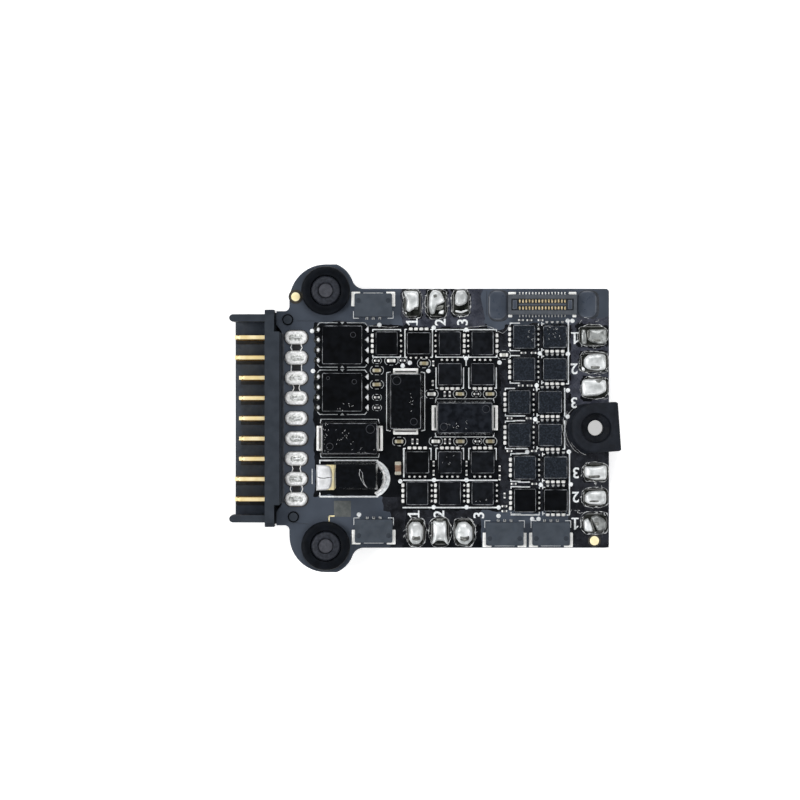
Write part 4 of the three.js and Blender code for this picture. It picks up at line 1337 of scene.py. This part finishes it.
def chip_edges():
    """A broken line painted bright along each chip's top edge, as a painted highlight where the clear coat
    turns over it.
    """
    lines = Shape()
    inset = 0.04
    for name in MOSFETS + POWER_MOSFETS + CAPACITORS:
        low, high = top_face(name)
        centre = (low + high) / 2
        path, thick = [], []
        outline = rectangle(high.x - low.x - 2 * inset, high.y - low.y - 2 * inset, 0.12, 2)(0)
        for (u0, v0), (u1, v1) in sides(outline):
            pieces = max(1, round(math.hypot(u1 - u0, v1 - v0) / 0.2))
            for step in range(pieces):
                x = centre.x + u0 + (u1 - u0) * step / pieces
                y = centre.y + v0 + (v1 - v0) * step / pieces
                path.append((x, y))
                thick.append(min(max(0.07 + 0.12 * noise.noise(Vector((x * 0.9, y * 0.9, 8))), 0.015), 0.11))
        band(lines, path, thick, closed=True, height=0.012, top=high.z - 0.003)
    lines.make("chip_edge_highlights", EDGE, sharp=80)


def loose_folds(folds, rng):
    """Small wandering folds along the coat's upper and lower borders."""
    for _ in range(46):
        x = rng.uniform(7.0, 22.0)
        y = rng.choice((rng.uniform(11.4, 12.6), rng.uniform(-12.4, -11.2)))
        wander = [(x, y)]
        heading = rng.uniform(0, math.tau)
        for _ in range(4):
            heading += rng.uniform(-0.7, 0.7)
            x += 0.13 * math.cos(heading)
            y += 0.13 * math.sin(heading)
            wander.append((x, y))
        if all(coat_height(u, v) > 0.01 for u, v in wander):
            band(folds, wander, 0.06, height=0.02)


def motor_pad_folds(folds, rng):
    """Short folds scattered round each motor pad."""
    for x, y, length, width in MOTOR_PADS:
        for _ in range(14):
            turn = rng.uniform(0, math.tau)
            u = x + (length / 2 + rng.uniform(0.25, 0.6)) * math.cos(turn)
            v = y + (width / 2 + rng.uniform(0.25, 0.6)) * math.sin(turn)
            if u > MAIN_RIGHT - 0.3 or abs(v) > MAIN_HALF_WIDTH - 0.25:
                continue
            lean = turn + rng.uniform(0.6, 2.2)
            reach = rng.uniform(0.1, 0.3)
            tip = (u + reach * math.cos(lean), v + reach * math.sin(lean))
            band(folds, [(u, v), tip], rng.uniform(0.05, 0.12), height=0.06)


def bulk_folds(folds, rng):
    """Folds over the round end of the bulk capacitor."""
    for number in range(26):
        angle = math.radians(-62 + 124 * number / 25)
        reach = 1.0 + 0.45 * noise.noise(Vector((number * 0.9, 2, 2)))
        x = -6.3 + reach * math.cos(angle)
        y = BULK_END[1] + 1.85 * math.sin(angle)
        lean = rng.uniform(-0.6, 0.6)
        band(folds, [(x, y), (x + 0.22 * math.cos(lean), y + 0.22 * math.sin(lean) + 0.12)], 0.07, height=0.1)


def rear_pad_folds(folds):
    """Long folds round the rear pad's curved side."""
    for radius, start, stop in ((3.75, 130, 235), (4.1, 150, 215), (3.5, 205, 250)):
        path = []
        for step in range(13):
            angle = math.radians(start + (stop - start) * step / 12)
            reach = radius + 0.14 * noise.noise(Vector((step * 0.6, radius, 1)))
            path.append((PAD_CENTRE[0] + reach * math.cos(angle), PAD_CENTRE[1] + reach * math.sin(angle)))
        band(folds, path, 0.06, height=0.03)


def coat_wrinkles():
    """Thin folds where the clear coat puckered as it dried, coloured bright as painted highlights."""
    folds = Shape()
    for path in (
        [(-8.1, -6.3), (-7.75, -6.75), (-7.7, -7.5), (-7.5, -8.1), (-7.2, -8.55)],
        [(-8.1, -6.3), (-8.15, -6.9), (-7.95, -7.5), (-7.6, -8.1), (-7.2, -8.55)],
    ):
        band(folds, path, 0.07, height=0.03, top=box_mm("bulk_capacitor")[1].z)
    for path in (
        [(5.2, 11.25), (6.4, 11.35), (7.6, 11.45), (8.3, 11.2), (8.83, 10.83), (9.6, 10.5), (10.1, 10.9),
         (10.4, 11.5)],
        [(-7.1, 11.45), (-5.9, 11.4), (-5.0, 11.3), (-4.3, 11.25), (-3.4, 11.35)],
    ):
        band(folds, path, 0.06, height=0.03)
    rng = random.Random(11)
    loose_folds(folds, rng)
    motor_pad_folds(folds, rng)
    bulk_folds(folds, rng)
    rear_pad_folds(folds)
    folds.make("coat_fold_highlights", WRINKLE_HIGHLIGHT, sharp=80)


def coat_speckles():
    """Small puckers of the coat on top of some parts, in grey tin as painted glints."""
    rng = random.Random(23)
    puckers = Shape()
    for name, u, v, along, across, count in GLINT_PUCKERS:
        top = box_mm(name)[1].z
        middle = centre_of(name)
        for _ in range(count):
            x = middle.x + u + rng.uniform(-along, along)
            y = middle.y + v + rng.uniform(-across, across)
            lean = rng.uniform(0, math.pi)
            reach = rng.uniform(0.05, 0.2)
            tip = (x + reach * math.cos(lean), y + reach * math.sin(lean))
            band(puckers, [(x, y), tip], rng.uniform(0.03, 0.07), height=0.012, top=top)
    puckers.make("coat_speckles", DIM_TIN, sharp=80)


# ---------------------------------------------------------------- numerals and marks on the board

# Where the numerals one, two and three of each group of motor pads stand, and their turn.
PAD_NUMBERS = {
    "top": (90, [(-1.65, 11.94), (1.93, 11.89), (4.67, 11.89)]),
    "bottom": (90, [(-1.44, -11.85), (1.76, -11.85), (6.7, -12.0)]),
    "right_upper": (180, [(18.48, 9.93), (18.42, 6.2), (18.4, 2.0)]),
    "right_lower": (180, [(18.53, -13.02), (18.6, -9.68), (18.64, -6.68)]),
}
# Each is (x, y, size, size of the bare ring round it).
FIDUCIALS = [(-16.05, 15.04, 1.1, 1.75), (20.93, -15.15, 1.14, 1.6)]


def pad_numbers():
    """Numerals beside the motor pads; the ones also get a foot and a flag."""
    ones = Shape()
    for turn, places in PAD_NUMBERS.values():
        middle = Vector(places[0])
        for start, end in (((-0.38, -0.62), (0.38, -0.62)), ((0.0, 0.62), (-0.36, 0.36))):
            band(ones, [local_point(middle, turn, *start), local_point(middle, turn, *end)], 0.2)
    ones.make("numeral_feet", SILK)
    for group, (turn, places) in PAD_NUMBERS.items():
        for number, (x, y) in enumerate(places, 1):
            curve = bpy.data.curves.new(f"numeral_{group}_{number}", "FONT")
            curve.body = str(number)
            curve.size = 1.85 * MM
            curve.extrude = 0.012 * MM
            curve.offset = 0.03 * MM
            curve.align_x = "CENTER"
            curve.align_y = "CENTER"
            curve.materials.append(SILK)
            piece = bpy.data.objects.new(curve.name, curve)
            bpy.context.scene.collection.objects.link(piece)
            piece.location = Vector((x, y, skin_height(x, y) + 0.02)) * MM
            piece.rotation_euler.z = math.radians(turn)
            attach(piece, "root")


def board_marks():
    """Two gold fiducials in bare rings, a gold corner, the edges of buried traces and a plain patch."""
    marks, rings, traces, patch = Shape(), Shape(), Shape(), Shape()
    for x, y, size, ring in FIDUCIALS:
        marks.stack(ellipse(size, size, 32), slab(0.07, 0.015), x, y, BOARD_TOP + 0.04)
        rings.stack(ellipse(ring, ring, 32), slab(0.08, 0.006), x, y)
    marks.block(-11.6, -12.1, 0.75, 0.16, 0.03, 0.03)
    marks.block(-11.9, -12.4, 0.16, 0.75, 0.03, 0.03)
    marks.make("gold_marks", COPPER_MARK)
    rings.make("bare_rings", SUBSTRATE, "solder_mask")
    for path in (
        [(-15.9, 12.05), (-9.3, 12.0)],
        [(-16.3, -12.9), (-14.5, -13.1)],
        [(7.6, 12.6), (7.6, 15.7)],
    ):
        band(traces, path, 0.07, height=0.012)
    traces.make("trace_edges", TRACE_DARK_AND_SHADE, "solder_mask")
    patch.block(-10.25, -11.2, 2.1, 2.0, 0.02)
    patch.make("plain_square_patch", PATCH)


# ---------------------------------------------------------------- underside, all guessed


def controller_surroundings():
    """The motor controllers' leads, the chip capacitors beside them and the white print round them."""
    leads, caps, bodies, white = Shape(), Shape(), Shape(), Shape()
    under = BOARD_BOTTOM - 0.03
    for name in CONTROLLERS:
        x, y, _ = centre_of(name)
        for row in range(8):
            offset = (row - 3.5) * 0.5
            for side in (-1, 1):
                leads.block(x + side * 2.6, y + offset, 0.4, 0.24, 0.12, 0.05, 0.04, BOARD_BOTTOM - 0.12)
                leads.block(x + offset, y + side * 2.6, 0.24, 0.4, 0.12, 0.05, 0.04, BOARD_BOTTOM - 0.12)
        for offset in (-1.6, 0, 1.6):
            for side in (-1, 1):
                chip_part(bodies, caps, (1.0, 0.52, 0.5), x + offset, y + side * 3.6, z=BOARD_BOTTOM - 0.5)
        for side in (-1, 1):
            for end in (-1, 1):
                white.block(x + end * 2.6, y + side * 3.0, 0.9, 0.15, 0.03, 0.03, z=under)
                white.block(x + end * 3.0, y + side * 2.6, 0.15, 0.9, 0.03, 0.03, z=under)
        white.stack(ellipse(0.5, 0.5, 16), slab(0.03), x - 3.3, y + 3.3, under)
    leads.make("controller_leads", TIN)
    bodies.make("underside_chip_capacitors", CERAMIC)
    caps.make("underside_end_caps", TIN)
    return white


def underside_details():
    """Leads, chip parts and print round the controllers, four test pads and two fields of vias."""
    white = controller_surroundings()
    pads, vias = Shape(), Shape()
    for x in (-6.0, -4.0, -2.0, 0.0):
        pads.stack(ellipse(1.1, 1.1, 24), slab(0.02), x, 0.6, BOARD_BOTTOM - 0.02)
    pads.make("underside_test_pads", COPPER_MARK)
    rng = random.Random(7)
    for column in range(16):
        for row in range(4):
            x = -11.5 + column * 0.62 + rng.uniform(-0.05, 0.05)
            y = 4.6 + row * 0.62 + rng.uniform(-0.05, 0.05)
            for side in (1, -1) if column % 5 != 4 else ():
                vias.stack(ellipse(0.3, 0.3, 12), slab(0.02, 0.008), x, side * y, BOARD_BOTTOM - 0.02)
    vias.make("underside_vias", DIM_TIN)
    white.make("underside_print", SILK)


# ---------------------------------------------------------------- floor, light and camera


def floor():
    mesh = bpy.data.meshes.new("floor")
    reach = 3.0
    corners = [(-reach, -reach, 0), (reach, -reach, 0), (reach, reach, 0), (-reach, reach, 0)]
    mesh.from_pydata(corners, [], [(0, 1, 2, 3)])
    surface = bpy.data.materials.new("pale_floor")
    surface.use_nodes = True
    set_sockets(
        surface.node_tree.nodes["Principled BSDF"],
        Base_Color=(0.9, 0.9, 0.9, 1),
        Roughness=0.9,
        Specular_IOR_Level=0.0,
        Emission_Color=(1.0, 1.0, 1.0, 1),
        Emission_Strength=0.56,
    )
    mesh.materials.append(surface)
    piece = bpy.data.objects.new("floor", mesh)
    piece.location.z = -0.02 * MM
    bpy.context.scene.collection.objects.link(piece)


def lights():
    """Four broad lamps at one height, strongest from the battery connector's side, in a dim room."""
    world = bpy.data.worlds.new("soft_room")
    world.use_nodes = True
    set_sockets(world.node_tree.nodes["Background"], Color=(0.93, 0.96, 1.0, 1), Strength=0.05)
    bpy.context.scene.world = world
    elevation = math.radians(45)
    for azimuth, strength in ((180, 1.85), (90, 1.35), (0, 0.9), (270, 0.95)):
        lamp = bpy.data.lights.new(f"softbox_{azimuth}", "SUN")
        lamp.energy = strength
        lamp.angle = math.radians(30)
        piece = bpy.data.objects.new(lamp.name, lamp)
        around = math.radians(azimuth)
        flat = math.cos(elevation)
        away = Vector((flat * math.cos(around), flat * math.sin(around), math.sin(elevation)))
        piece.rotation_mode = "QUATERNION"
        piece.rotation_quaternion = away.to_track_quat("Z", "Y")
        bpy.context.scene.collection.objects.link(piece)


def camera():
    """Straight above, a little off the board's middle, as far as a long lens would stand."""
    scene = bpy.context.scene
    data = bpy.data.cameras.new("camera")
    piece = bpy.data.objects.new("camera", data)
    view_width = 99.0 * MM
    distance = 0.6
    data.sensor_width = 36
    data.lens = data.sensor_width * distance / view_width
    data.clip_start = 0.05
    data.clip_end = 10
    piece.location = (-3.13 * MM, 2.26 * MM, BOARD_TOP * MM + distance)
    scene.collection.objects.link(piece)
    scene.camera = piece
    scene.view_settings.view_transform = "Standard"


# ---------------------------------------------------------------- assembly

finish_cad_nodes()
ear_mounts()
rear_pad()
mosfet_joints()
power_mosfet_joints()
capacitor_terminals()
bulk_terminals()
connector_bay()
connector_seam()
blade_joints()
joint_filaments()
joint_halos()
motor_pad_solder()
pad_wrinkles()
mask_plugs()
chip_parts()
board_socket_details()
signal_socket_details()
white_print()
moulding_marks()
chip_edges()
coat_wrinkles()
coat_speckles()
pad_numbers()
board_marks()
clear_coat()
underside_details()
floor()
lights()
camera()
